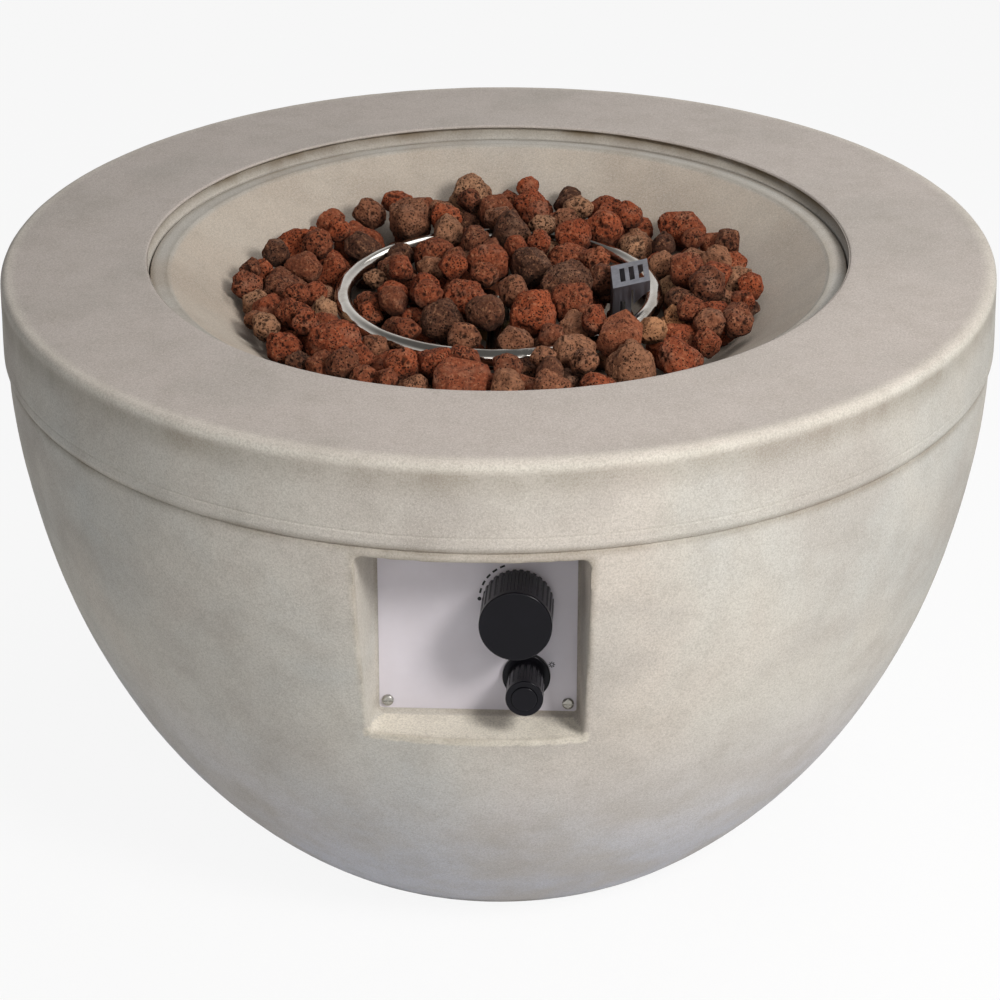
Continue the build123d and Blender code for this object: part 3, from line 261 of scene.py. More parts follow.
def lava(name):
    """Porous volcanic rock.

    Each stone has its own tone and porosity, with dust, painted shade in its pores and hollows, and
    painted shade on its underside.
    """
    look = Look(name)
    stone = look.attribute("stone_tone")
    pit_shade = look.attribute("stone_pit_shade")
    tone = look.ramp(
        stone,
        (0.0, rgb(80, 54, 42)),
        (0.14, rgb(106, 69, 51)),
        (0.32, rgb(137, 76, 51)),
        (0.50, rgb(154, 76, 47)),
        (0.66, rgb(168, 83, 50)),
        (0.75, rgb(143, 94, 69)),
        (0.88, rgb(164, 115, 86)),
        (0.96, rgb(184, 141, 108)),
        (1.0, rgb(180, 110, 56)),
    )
    patches = look.noise(62.0, 5.0, 0.65)
    tone = look.mix(look.fade(patches, 0.42, 0.72, 0.0, 0.55), tone, rgb(104, 58, 40))
    ashy = look.noise(48.0, 4.0, 0.6, look.stretch(1.0, 1.0, 1.6))
    tone = look.mix(look.fade(ashy, 0.5, 0.74, 0.0, 0.5), tone, rgb(152, 116, 95))
    dust = look.noise(300.0, 6.0, 0.75)
    tone = look.mix(look.fade(dust, 0.5, 0.7, 0.0, 0.5), tone, rgb(208, 150, 112))
    tone = look.mix(look.fade(dust, 0.5, 0.34, 0.0, 0.6), tone, rgb(58, 36, 27))
    porous = look.math("FRACT", look.math("MULTIPLY", stone, POROSITY_SHUFFLE))
    open_spots = look.math("ADD", look.noise(130.0, 3.0, 0.6), look.math("MULTIPLY", porous, 0.4))
    wide = look.fade(look.cells(310.0), 0.14, 0.32, 1.0, 0.0)
    wide = look.math("MULTIPLY", wide, look.fade(open_spots, 0.58, 0.74))
    narrow = look.fade(look.cells(560.0), 0.18, 0.36, 1.0, 0.0)
    narrow = look.math("MULTIPLY", narrow, look.fade(open_spots, 0.42, 0.66, 0.35, 1.0))
    holes = look.math("MAXIMUM", wide, narrow)
    # Painted shade in the pores and hollows.
    tone = look.mix(look.math("MULTIPLY", look.math("MAXIMUM", holes, pit_shade), 0.88), tone, rgb(28, 18, 13))
    # Painted shade on each stone's underside.
    tone = look.mix(look.math("MULTIPLY", look.attribute("stone_underside_shade"), 0.72), tone, rgb(20, 14, 11))
    relief = look.math("SUBTRACT", look.math("MULTIPLY", dust, 1.6), holes)
    normal = look.bump(relief, 1.0, 0.0012)
    rough = look.fade(dust, 0.3, 0.7, 0.85, 1.0)
    return look.set(Base_Color=tone, Roughness=rough, Normal=normal, Specular_IOR_Level=0.2)


# Mesh helpers
def link_piece(name, mesh, material, body, slot, *replaced):
    piece = bpy.data.objects.new(name, mesh)
    bpy.context.scene.collection.objects.link(piece)
    mesh.materials.clear()
    mesh.materials.append(material)
    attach(piece, body)
    if replaced:
        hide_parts(*replaced)
    return piece


def mesh_of(name, points, faces, smooth=True):
    mesh = bpy.data.meshes.new(name)
    mesh.from_pydata([tuple(map(float, p)) for p in points], [], [tuple(map(int, f)) for f in faces])
    mesh.validate()
    if smooth:
        mesh.polygons.foreach_set("use_smooth", [True] * len(mesh.polygons))
    mesh.update()
    return mesh


def coordinates(mesh):
    points = np.empty(len(mesh.vertices) * 3)
    mesh.vertices.foreach_get("co", points)
    return points.reshape(-1, 3)


def triangles(mesh):
    mesh.calc_loop_triangles()
    corners = np.empty(len(mesh.loop_triangles) * 3, int)
    mesh.loop_triangles.foreach_get("vertices", corners)
    return corners.reshape(-1, 3)


def add_values(mesh, name, values):
    attribute = mesh.attributes.new(name, "FLOAT", "POINT")
    attribute.data.foreach_set("value", np.asarray(values, np.float32))


# Lava rock
STONE_SEED = 5
STONE_SOFTNESS = 15
STONE_SWELL = 1.05
STONE_LIMIT = 1.06
STONE_WAVES = ((31.0, 0.24), (80.0, 0.12), (210.0, 0.05), (420.0, 0.04), (760.0, 0.03))
UNDERSIDE_SHADE_BAND = (-0.2, 0.75)
STONE_STEPS = 30
HIDDEN_STEPS = 9
HIDDEN_TOP_Z = 0.400
LEAST_AREA = 1e-9
LEAST_OFFSET = 1e-4
PIT_COUNTS = (8, 80)
PIT_SMALLEST = 0.0007
PIT_SPREAD = 0.0015
PIT_DEPTH = 0.9


def lattice(cells, seed):
    """A fixed random number from -1 to 1 for each whole-number cell."""
    mixed = cells @ np.array([374761393, 668265263, 974634777]) + seed * 1274126177
    mixed = (mixed ^ (mixed >> 13)) * 1103515245
    mixed = mixed ^ (mixed >> 16)
    return (mixed & 0xFFFFFF) / 0x7FFFFF - 1


def waves(points, scale, seed):
    """Smooth random waves from -1 to 1 at the points, with scale cells to the metre."""
    spots = points * scale
    low = np.floor(spots).astype(np.int64)
    share = spots - low
    share = share * share * (3 - 2 * share)
    total = np.zeros(len(points))
    for corner in np.ndindex(2, 2, 2):
        weight = np.where(corner, share, 1 - share).prod(axis=1)
        total += weight * lattice(low + np.array(corner), seed)
    return total


def loose_solids(mesh):
    """Each separate solid of a mesh, as its corner points for every triangle."""
    points = coordinates(mesh)
    corners = triangles(mesh)
    places, inverse = np.unique(np.round(points, 6), axis=0, return_inverse=True)
    corners = inverse.reshape(-1)[corners]
    labels = np.arange(len(places))
    while True:
        lowest = labels[corners].min(axis=1)
        joined = labels.copy()
        for side in range(3):
            np.minimum.at(joined, corners[:, side], lowest)
        joined = joined[joined]
        if (joined == labels).all():
            break
        labels = joined
    owner = labels[corners[:, 0]]
    return [places[corners[owner == label]] for label in np.unique(owner)]


def ball(steps):
    """Directions and faces of a round ball made of six square grids."""
    line = np.tan(np.linspace(-math.pi / 4, math.pi / 4, steps + 1))
    a, b = (grid.ravel() for grid in np.meshgrid(line, line, indexing="ij"))
    one = np.ones_like(a)
    sides = [(one, a, b), (-one, b, a), (b, one, a), (a, -one, b), (a, b, one), (b, a, -one)]
    points = np.concatenate([np.stack(side, axis=-1) for side in sides])
    numbers = np.arange(steps)
    row, column = (grid.ravel() for grid in np.meshgrid(numbers, numbers, indexing="ij"))
    first = row * (steps + 1) + column
    square = np.stack([first, first + steps + 1, first + steps + 2, first + 1], axis=-1)
    faces = np.concatenate([square + side * (steps + 1) ** 2 for side in range(6)])
    points, inverse = np.unique(np.round(points, 6), axis=0, return_inverse=True)
    return points / np.linalg.norm(points, axis=1)[:, None], inverse.reshape(-1)[faces]


def smooth_step(values, low, high):
    share = np.clip((values - low) / (high - low), 0, 1)
    return share * share * (3 - 2 * share)


def stone(solid, directions, rng):
    """A lumpy, pitted stone in the place of one flat-faced solid: its points, how deep in a hollow each
    lies, and its painted underside shade.
    """
    a, b, c = solid[:, 0], solid[:, 1], solid[:, 2]
    normals = np.cross(b - a, c - a)
    areas = np.linalg.norm(normals, axis=1)
    keep = areas > LEAST_AREA
    normals = normals[keep] / areas[keep, None]
    middles = solid[keep].mean(axis=1)
    centre = (middles * areas[keep, None]).sum(axis=0) / areas[keep].sum()
    offsets = (normals * (middles - centre)).sum(axis=1)
    flat = np.unique(np.round(np.column_stack([normals, offsets]), 4), axis=0)
    reach = np.clip(directions @ flat[:, :3].T / np.maximum(flat[:, 3], LEAST_OFFSET), 0, None)
    outline = 1 / reach.max(axis=1)
    rounded = 1 / ((reach ** STONE_SOFTNESS).sum(axis=1) ** (1 / STONE_SOFTNESS))
    places = centre + directions * rounded[:, None]
    swell = np.full(len(places), STONE_SWELL)
    for seed, (scale, amount) in enumerate(STONE_WAVES):
        swell += amount * waves(places, scale, seed)
    radius = np.minimum(rounded * swell, outline * STONE_LIMIT)
    count = rng.integers(*PIT_COUNTS)
    pits = rng.normal(size=(count, 3))
    pits /= np.linalg.norm(pits, axis=1)[:, None]
    sizes = PIT_SMALLEST + PIT_SPREAD * rng.uniform(0, 1, count) ** 3
    away = np.sqrt(np.clip(2 - 2 * directions @ pits.T, 0, None)) * radius.mean()
    hollow = np.sqrt(np.clip(1 - (away / sizes) ** 2, 0, 1))
    radius = radius - (hollow * sizes).max(axis=1) * PIT_DEPTH
    points = centre + directions * radius[:, None]
    # Painted shade, darker towards each stone's underside.
    underside_shade = smooth_step((centre[2] - points[:, 2]) / radius.mean(), *UNDERSIDE_SHADE_BAND)
    return points, hollow.max(axis=1), underside_shade


def build_stones(node, name, material):
    rng = np.random.default_rng(STONE_SEED)
    fine, coarse = ball(STONE_STEPS), ball(HIDDEN_STEPS)
    all_points, all_faces, tones, depths, underside_shades = [], [], [], [], []
    count = 0
    for solid in loose_solids(nodes[node].data):
        directions, faces = coarse if solid[:, :, 2].max() < HIDDEN_TOP_Z else fine
        points, pits, underside_shade = stone(solid, directions, rng)
        all_points.append(points)
        all_faces.append(faces + count)
        tones.append(np.full(len(points), rng.uniform(0, 1)))
        depths.append(pits)
        underside_shades.append(underside_shade)
        count += len(points)
    mesh = mesh_of(name, np.concatenate(all_points), np.concatenate(all_faces))
    add_values(mesh, "stone_tone", np.concatenate(tones))
    add_values(mesh, "stone_pit_shade", np.concatenate(depths))
    add_values(mesh, "stone_underside_shade", np.concatenate(underside_shades))
    return link_piece(name, mesh, material, "fire_pit", "lava_rock", node)


# Castings
BOWL_R = 0.3535
BASE_R = 0.196
BOWL_SEMI_HEIGHT = SEAM_Z / math.sqrt(1 - (BASE_R / BOWL_R) ** 2)
BOWL_VOXEL = 0.0022
BOWL_SMOOTHING = 2
BOWL_SEED = 1.0
RIM_SEED = 2.0
DISH_SEED = 3.0
LATHE_STEPS = 420
LATHE_PITCH = 0.003
ARC_STEPS = 7
CAST_WAVE = 0.0005
CAST_COARSE = 9.0
CAST_FINE = 42.0
SAME_POINT = 1e-6


def cast_depth(points, seed):
    """How far a cast face lies below its true place: long soft waves and small dents, in metres."""
    depth = np.empty(len(points))
    shift = Vector((seed, 2.7 * seed, 5.3 * seed))
    for index, point in enumerate(points):
        spot = Vector(point)
        long_wave = noise.noise(spot * CAST_COARSE + shift)
        dents = noise.fractal(spot * CAST_FINE + shift, 1.0, 2.0, 3)
        depth[index] = 0.5 + 0.35 * long_wave + 0.25 * dents
    return CAST_WAVE * np.clip(depth, 0, 1.2)


def panel_frame():
    """The control panel's face: its middle, and its right, up and outward directions."""
    low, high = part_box("control_panel")
    out = np.array([0, -math.cos(PANEL_LEAN), math.sin(PANEL_LEAN)])
    up = np.array([0, math.sin(PANEL_LEAN), math.cos(PANEL_LEAN)])
    middle = np.array((low + high) / 2) + out * PANEL_T / 2
    return middle, np.array([1.0, 0, 0]), up, out


PANEL_HALF_W = 0.0655
PANEL_HALF_H = 0.0675
SIDE_DRAFT = math.tan(math.radians(6.5))
SILL_DRAFT = math.tan(math.radians(11.5))
TOP_DRAFT = math.tan(math.radians(-4.3))
FRONT_Y = -0.2
NEAR_FACE = 0.006

# Brown wash, painted shade and painted light on the castings: the distances that each fades between, and
# its strength
MOUTH_FADE, MOUTH_WASH = (0.001, 0.006), 0.5
CORNER_WALL = 0.003
CORNER_FADE, CORNER_WASH = (0.0005, 0.005), 0.35
BOWL_SEAM_FADE, BOWL_SEAM_WASH = (0.001, 0.008), 0.5
# Painted shade at the bowl's foot, darker towards the floor.
FOOT_FADE, FOOT_PAINTED_SHADE = (0.002, 0.016), 0.4
NICHE_WALL = 0.004
# Painted light: the niche's sill, and a little of its left wall, are made paler.
SILL_FROM = 0.001
SILL_PAINTED_LIGHT = 0.95
LEFT_WALL_PAINTED_LIGHT = 0.15
RIM_OUTSIDE_R = 0.345
UNDER_EDGE_FADES, UNDER_EDGE_WASH = ((0.004, 0.009), (0.010, 0.030)), 0.42
# Painted shadow in the rim's cove under its overhanging inner edge: how far in it reaches, its fades and
# the share left lower down.
COVE_SHADE_REACH = 0.007
COVE_SHADE_FADES, COVE_SHADE_LEFT = ((0.001, 0.003), (0.004, 0.011)), 0.8
RIM_SEAM_FADE, RIM_SEAM_WASH = (0.0, 0.0035), 0.6
# Painted highlight and rubbed paleness on the rim's rounded outer edge.
RIM_EDGE_R = 0.351
RIM_EDGE_DROP = 0.001
RIM_EDGE_FADE, RIM_EDGE_RUB_AND_HIGHLIGHT = (0.003, 0.010), 0.4
# Painted shade in the gap between the dish and the rim; brown along the dish's lip.
DISH_GAP, DISH_GAP_SHADE = (0.2465, 0.2495), 0.8
DISH_LIP_FADE, DISH_LIP_WASH = (0.0003, 0.003), 0.35


def niche_distance(points):
    """Distance from the niche's walls, below zero inside it, and the distance out from the panel."""
    middle, right, up, out = panel_frame()
    offset = points - middle
    u, v, w = offset @ right, offset @ up, offset @ out
    sides = np.abs(u) - PANEL_HALF_W - w * SIDE_DRAFT
    sill = -PANEL_HALF_H - w * SILL_DRAFT - v
    top = v - PANEL_HALF_H - w * TOP_DRAFT
    return np.maximum(sides, np.maximum(sill, top)), w


def bowl_wash_and_shade(points):
    """Brown on the bowl: a wash under the seam and round the niche's mouth, darker in the niche's inner
    corners, and painted shade at the foot.
    """
    r = np.hypot(points[:, 0], points[:, 1])
    outer = BOWL_R * np.sqrt(np.clip(1 - ((SEAM_Z - points[:, 2]) / BOWL_SEMI_HEIGHT) ** 2, 0, 1))
    inset = r - outer
    niche, out = niche_distance(points)
    front = points[:, 1] < FRONT_Y
    mouth = np.where(front, 1 - smooth_step(np.hypot(inset, niche), *MOUTH_FADE), 0)
    corner = np.where(front & (np.abs(niche) < CORNER_WALL), 1 - smooth_step(out, *CORNER_FADE), 0)
    outside = inset > -NEAR_FACE
    seam = np.where(outside, 1 - smooth_step(SEAM_Z - points[:, 2], *BOWL_SEAM_FADE), 0)
    # Painted shade, darker towards the floor.
    foot = np.where(outside, 1 - smooth_step(points[:, 2], *FOOT_FADE), 0)
    return np.maximum.reduce([
        mouth * MOUTH_WASH, corner * CORNER_WASH, seam * BOWL_SEAM_WASH, foot * FOOT_PAINTED_SHADE,
    ])


def bowl_painted_light(points):
    """Painted light: pale cream on the niche's sill, and a little of it on the niche's left wall."""
    niche, out = niche_distance(points)
    middle, right, up, _ = panel_frame()
    offset = points - middle
    inside = (points[:, 1] < FRONT_Y) & (np.abs(niche) < NICHE_WALL) & (out > 0)
    low = offset @ up < -PANEL_HALF_H - SILL_FROM
    left = offset @ right < 0
    return np.where(inside & low, SILL_PAINTED_LIGHT, np.where(inside & left, LEFT_WALL_PAINTED_LIGHT, 0.0))


def evaluated(piece):
    """The mesh of a piece with its modifiers applied."""
    deps = bpy.context.evaluated_depsgraph_get()
    mesh = bpy.data.meshes.new_from_object(piece.evaluated_get(deps))
    bpy.data.objects.remove(piece)
    return mesh


def vertex_normals(mesh):
    normals = np.empty(len(mesh.vertices) * 3)
    mesh.vertices.foreach_get("normal", normals)
    return normals.reshape(-1, 3)


def build_bowl():
    """The bowl's solid with its edges eased and its faces made slightly uneven, as cast concrete is."""
    source = nodes["bowl_shell"].data.copy()
    shape = bmesh.new()
    shape.from_mesh(source)
    bmesh.ops.remove_doubles(shape, verts=shape.verts, dist=SAME_POINT)
    shape.to_mesh(source)
    shape.free()
    draft = bpy.data.objects.new("bowl_draft", source)
    bpy.context.scene.collection.objects.link(draft)
    remesh = draft.modifiers.new("remesh", "REMESH")
    remesh.mode = "VOXEL"
    remesh.voxel_size = BOWL_VOXEL
    ease = draft.modifiers.new("ease", "SMOOTH")
    ease.factor = 0.5
    ease.iterations = BOWL_SMOOTHING
    mesh = evaluated(draft)
    points = coordinates(mesh)
    points -= vertex_normals(mesh) * cast_depth(points, BOWL_SEED)[:, None]
    mesh.vertices.foreach_set("co", points.ravel())
    mesh.polygons.foreach_set("use_smooth", [True] * len(mesh.polygons))
    add_values(mesh, "wash_and_painted_shade", bowl_wash_and_shade(points))
    add_values(mesh, "painted_light_and_rub", bowl_painted_light(points))
    mesh.update()
    return link_piece("cast_bowl", mesh, bowl_look, "fire_pit", "bowl_concrete", "bowl_shell")


def rounded_outline(corners, pitch):
    """Closed outline through (r, z, radius) corners, with arcs at them and points along its sides."""
    path = []
    count = len(corners)
    for index in range(count):
        here = np.array(corners[index][:2])
        before = np.array(corners[index - 1][:2])
        after = np.array(corners[(index + 1) % count][:2])
        radius = corners[index][2]
        if radius == 0:
            path.append([here])
            continue
        way_in = (before - here) / np.linalg.norm(before - here)
        way_out = (after - here) / np.linalg.norm(after - here)
        half = math.acos(np.clip(way_in @ way_out, -1, 1)) / 2
        centre = here + (way_in + way_out) / np.linalg.norm(way_in + way_out) * radius / math.sin(half)
        start = here + way_in * radius / math.tan(half) - centre
        end = here + way_out * radius / math.tan(half) - centre
        sweep = math.pi - 2 * half
        arc = []
        for step in np.linspace(0, 1, max(ARC_STEPS, int(radius * sweep / pitch))):
            spoke = start * math.sin((1 - step) * sweep) + end * math.sin(step * sweep)
            arc.append(centre + spoke / math.sin(sweep))
        path.append(arc)
    outline = []
    for index, arc in enumerate(path):
        outline.extend(arc)
        start, end = arc[-1], path[(index + 1) % count][0]
        pieces = max(int(np.linalg.norm(end - start) / pitch), 1)
        outline.extend(start + (end - start) * step / pieces for step in range(1, pieces))
    return np.array(outline)


def lathe(name, corners, seed, wash_and_shade_of, painted_light_and_rub_of=None):
    """A cast ring turned about Z from a closed outline, with uneven faces."""
    outline = rounded_outline(corners, LATHE_PITCH)
    count = len(outline)
    turns = np.linspace(0, 2 * math.pi, LATHE_STEPS, endpoint=False)
    points = np.stack([
        np.outer(np.cos(turns), outline[:, 0]),
        np.outer(np.sin(turns), outline[:, 0]),
        np.tile(outline[:, 1], (LATHE_STEPS, 1)),
    ], axis=-1).reshape(-1, 3)
    step, side = np.meshgrid(np.arange(LATHE_STEPS), np.arange(count), indexing="ij")
    ahead, beside = (step + 1) % LATHE_STEPS, (side + 1) % count
    quads = [step * count + side, ahead * count + side, ahead * count + beside, step * count + beside]
    faces = np.stack(quads, axis=-1)
    mesh = mesh_of(name, points, faces.reshape(-1, 4))
    shape = bmesh.new()
    shape.from_mesh(mesh)
    bmesh.ops.recalc_face_normals(shape, faces=shape.faces)
    shape.to_mesh(mesh)
    shape.free()
    points = coordinates(mesh)
    r, z = np.hypot(points[:, 0], points[:, 1]), points[:, 2].copy()
    points -= vertex_normals(mesh) * cast_depth(points, seed)[:, None]
    mesh.vertices.foreach_set("co", points.ravel())
    mesh.update()
    # Brown wash and painted shade, then painted light and rubbed paleness, as attributes of the points.
    add_values(mesh, "wash_and_painted_shade", wash_and_shade_of(r, z))
    if painted_light_and_rub_of:
        add_values(mesh, "painted_light_and_rub", painted_light_and_rub_of(r, z))
    return mesh


def edge_wash(r, z, edge_r, edge_z, near, far):
    """One at an edge of a ring, fading to zero from near to far away from it."""
    return 1 - smooth_step(np.hypot(r - edge_r, z - edge_z), near, far)


def rim_wash_and_shade(r, z):
    """Brown wash under the rim's outer edge and along the seam, and painted shadow in its inner cove."""
    outside = r > RIM_OUTSIDE_R
    drop = RIM_TOP_Z - z
    rise, fall = UNDER_EDGE_FADES
    under_edge = smooth_step(drop, *rise) - smooth_step(drop, *fall)
    under_edge = np.where(outside, under_edge, 0) * UNDER_EDGE_WASH
    # Painted shadow under the overhanging inner edge, darkest just below it.
    rise, fall = COVE_SHADE_FADES
    cove = smooth_step(drop, *rise) - smooth_step(drop, *fall) * COVE_SHADE_LEFT
    cove = np.where(r < RIM_INNER_R + COVE_SHADE_REACH, cove, 0)
    seam = np.where(outside, 1 - smooth_step(z - SEAM_Z, *RIM_SEAM_FADE), 0) * RIM_SEAM_WASH
    return np.maximum.reduce([under_edge, cove, seam])


def rim_rub_and_highlight(r, z):
    """The outer edge of the rim is paler than its faces: rubbed, and with a painted highlight."""
    return edge_wash(r, z, RIM_EDGE_R, RIM_TOP_Z - RIM_EDGE_DROP, *RIM_EDGE_FADE) * RIM_EDGE_RUB_AND_HIGHLIGHT


def dish_shade_and_lip(r, z):
    """Darker on the dish: painted shade in the gap to the rim, and brown along its lip."""
    # Painted shade in the gap to the rim.
    gap = smooth_step(r, *DISH_GAP) * DISH_GAP_SHADE
    lip = edge_wash(r, z, LIP_R, LEDGE_Z, *DISH_LIP_FADE) * DISH_LIP_WASH
    return np.maximum(gap, lip)


# Outlines as (radius, height, rounding) corners. The rim has a cove under its inner edge, a faint
# line above the seam, and a tongue that closes the seam behind its soft lower edge.
SEAM_LINE_Z = 0.3898
RIM_CORNERS = [
    (0.2497, RIM_TOP_Z, 0.0016),
    (0.353, RIM_TOP_Z, 0.006),
    (0.3554, SEAM_LINE_Z + 0.0012, 0.001),
    (0.3551, SEAM_LINE_Z, 0.0006),
    (0.3555, SEAM_LINE_Z - 0.0012, 0.001),
    (0.3556, 0.3836, 0.005),
    (0.3537, 0.3788, 0.001),
    (0.3526, 0.3785, 0.0004),
    (0.3524, 0.3745, 0),
    (0.344, 0.3745, 0),
    (0.344, SEAM_Z, 0),
    (0.336, SEAM_Z, 0),
    (0.336, 0.412, 0),
    (0.258, 0.412, 0),
    (0.258, 0.402, 0),
    (0.242, 0.402, 0),
    (0.242, 0.417, 0),
    (RIM_INNER_R, 0.417, 0),
    (0.2502, 0.4292, 0.0008),
    (0.2552, 0.4362, 0.0016),
    (0.2505, 0.4384, 0.0006),
]


def build_rim():
    mesh = lathe("cast_rim", RIM_CORNERS, RIM_SEED, rim_wash_and_shade, rim_rub_and_highlight)
    return link_piece("cast_rim", mesh, rim_look, "fire_pit", "rim_concrete", "rim_ring")


DISH_CORNERS = [
    (0.0083, 0.366, 0),
    (0.1503, 0.366, 0.100),
    (LIP_R, LEDGE_Z, 0.0018),
    (0.2495, LEDGE_Z, 0.001),
    (0.2495, 0.417, 0),
    (0.2375, 0.417, 0),
    (0.1535, 0.356, 0.110),
    (0.0083, 0.356, 0),
]


def build_dish():
    mesh = lathe("cast_dish", DISH_CORNERS, DISH_SEED, dish_shade_and_lip)
    return link_piece("cast_dish", mesh, dish_look, "fire_pit", "dish_concrete", "fire_dish")


# Burner tube
BURNER_TUBE_R = 0.00635
BURNER_RING_Z = 0.399
ON_TUBE = 5e-5


def build_burner():
    """The burner's solid, shaded by the true normals of its round ring."""
    mesh = nodes["burner_ring"].data.copy()
    points = coordinates(mesh)
    flat = np.hypot(points[:, 0], points[:, 1])
    across = flat - (flat.max() - BURNER_TUBE_R)
    above = points[:, 2] - BURNER_RING_Z
    normals = np.column_stack([points[:, :2] / flat[:, None] * across[:, None], above])
    size = np.hypot(across, above)
    on_tube = np.abs(size - BURNER_TUBE_R) < ON_TUBE
    normals = np.where(on_tube[:, None], normals / size[:, None], 0)
    mesh.polygons.foreach_set("use_smooth", [True] * len(mesh.polygons))
    mesh.normals_split_custom_set_from_vertices(normals)
    return link_piece("burner_tube", mesh, ring_look, "fire_pit", "burner_steel", "burner_ring")


# Plain marks printed on the panel: a dashed arc round the knob, a stop dot and a spark sign
MARK_LIFT = 0.00012
DIAL_R = 0.0248
DIAL_LINE_W = 0.0013
DIAL_FROM = 110
DIAL_TO = 166
DIAL_STEP = 13
DIAL_DASH = 8
SPARK_AT = (0.0478, -0.0335)
SPARK_R = 0.0021
SPARK_LINE_W = 0.0006
SPARK_RAYS = 8
SPARK_GAP = 0.35
DASH_STEPS = 6
DOT_STEPS = 20


def around(centre, radius, turns):
    """Points on a circle of the panel at the given turns."""
    return [(centre[0] + radius * math.cos(a), centre[1] + radius * math.sin(a)) for a in turns]


def add_prism(points, faces, outline):
    """Adds a thin plate on the panel's face, given by its outline in the panel's frame."""
    middle, right, up, out = panel_frame()
    first = len(points)
    count = len(outline)
    for lift in (0.0, MARK_LIFT):
        points.extend(middle + right * u + up * v + out * lift for u, v in outline)
    faces.append([first + index for index in reversed(range(count))])
    faces.append([first + count + index for index in range(count)])
    for index in range(count):
        ahead = (index + 1) % count
        faces.append([first + index, first + ahead, first + count + ahead, first + count + index])


def build_marks():
    points, faces = [], []
    for start in range(DIAL_FROM, DIAL_TO, DIAL_STEP):
        turns = [math.radians(start + DIAL_DASH * step / DASH_STEPS) for step in range(DASH_STEPS + 1)]
        outer = around(VALVE_AT, DIAL_R + DIAL_LINE_W / 2, turns)
        inner = around(VALVE_AT, DIAL_R - DIAL_LINE_W / 2, turns[::-1])
        add_prism(points, faces, outer + inner)
    [stop] = around(VALVE_AT, DIAL_R, [math.radians(DIAL_TO + DIAL_STEP)])
    ring = [math.radians(360 / DOT_STEPS * step) for step in range(DOT_STEPS)]
    add_prism(points, faces, around(stop, DIAL_LINE_W, ring))
    for step in range(SPARK_RAYS):
        a = math.radians(360 / SPARK_RAYS * step)
        along = np.array([math.cos(a), math.sin(a)])
        across = np.array([-along[1], along[0]]) * SPARK_LINE_W / 2
        near, far = along * SPARK_R * SPARK_GAP, along * SPARK_R
        edge = [near - across, far - across, far + across, near + across]
        add_prism(points, faces, [(SPARK_AT[0] + p[0], SPARK_AT[1] + p[1]) for p in edge])
    mesh = mesh_of("panel_marks", points, faces, smooth=False)
    return link_piece("panel_marks", mesh, matte_look, "fire_pit", "black_matte")


# Node materials
# The rim's second tone is painted shade: a darker top face.
rim_look = concrete(
    "rim_concrete", rgb(204, 199, 189), rgb(206, 198, 188), rgb(196, 194, 187), rgb(178, 170, 162),
    (rgb(193, 182, 175), 0.85, 0.4365, 0.4395),
)
# The bowl's second tone is painted light: a bluish floor bounce on its lower part, from z 0.25 down to
# 0.04.
bowl_look = concrete(
    "bowl_concrete", rgb(208, 203, 193), rgb(209, 200, 189), rgb(198, 197, 191), rgb(184, 177, 169),
    (rgb(190, 193, 205), 0.85, 0.25, 0.04),
)
# The dish's second tone is painted light: a paler ledge.
dish_look = concrete(
    "dish_concrete", rgb(196, 184, 169), rgb(194, 180, 164), rgb(190, 180, 168), rgb(178, 163, 147),
    (rgb(196, 193, 186), 0.85, 0.4262, 0.4284),
)
ring_look = steel("burner_steel", rgb(184, 179, 172), rgb(140, 122, 104), 0.08, 0.2, 260.0)
GUARD_BRUSH = (1.0, 1.0, 0.15)
guard_look = steel("guard_steel", rgb(126, 126, 134), rgb(98, 93, 92), 0.28, 0.46, 320.0, GUARD_BRUSH)
zinc_look = steel("zinc_steel", rgb(176, 174, 168), rgb(132, 126, 116), 0.26, 0.42, 400.0)
spring_look = steel("spring_steel", rgb(150, 150, 152), rgb(110, 108, 106), 0.25, 0.4, 500.0)
brass_look = steel("brass", rgb(190, 160, 96), rgb(140, 108, 62), 0.25, 0.42, 300.0)
copper_look = steel("copper", rgb(184, 118, 84), rgb(120, 74, 54), 0.3, 0.5, 260.0)
tube_look = steel("feed_aluminium", rgb(200, 200, 202), rgb(166, 166, 168), 0.28, 0.44, 280.0)
valve_look = steel("valve_aluminium", rgb(170, 170, 172), rgb(130, 130, 132), 0.4, 0.58, 420.0)
panel_look = powder_coat("panel_paint", rgb(214, 209, 216), rgb(206, 200, 206))
gloss_look = plastic("black_gloss", rgb(16, 15, 20), rgb(21, 20, 26), 0.14, 0.26, 0.15)
matte_look = plastic("black_matte", rgb(32, 32, 34), rgb(42, 41, 42), 0.45, 0.6, 0.3)
ceramic_look = unglazed("ceramic_white", rgb(222, 217, 205), rgb(176, 160, 140))
cell_look = powder_coat("cell_jacket", rgb(60, 64, 72), rgb(72, 76, 82))
lava_look = lava("lava_rock")

LOOKS = {
    "rim_concrete": rim_look,
    "bowl_concrete": bowl_look,
    "dish_concrete": dish_look,
    "burner_steel": ring_look,
    "sheet_steel": guard_look,
    "zinc_steel": zinc_look,
    "spring_steel": spring_look,
    "brass": brass_look,
    "copper": copper_look,
    "feed_aluminium": tube_look,
    "valve_aluminium": valve_look,
    "panel_paint": panel_look,
    "black_gloss": gloss_look,
    "black_matte": matte_look,
    "ceramic_white": ceramic_look,
    "cell_jacket": cell_look,
    "lava_rock": lava_look,
}
for row in frame["record"]["subparts"]:
    data = nodes[row["node"]].data
    data.materials.clear()
    data.materials.append(LOOKS[row["material_slot"]])

build_bowl()
build_rim()
build_dish()
build_burner()
build_marks()
build_stones("lava_rocks_inside", "stones_inside", lava_look)
build_stones("lava_rocks_outside", "stones_outside", lava_look)


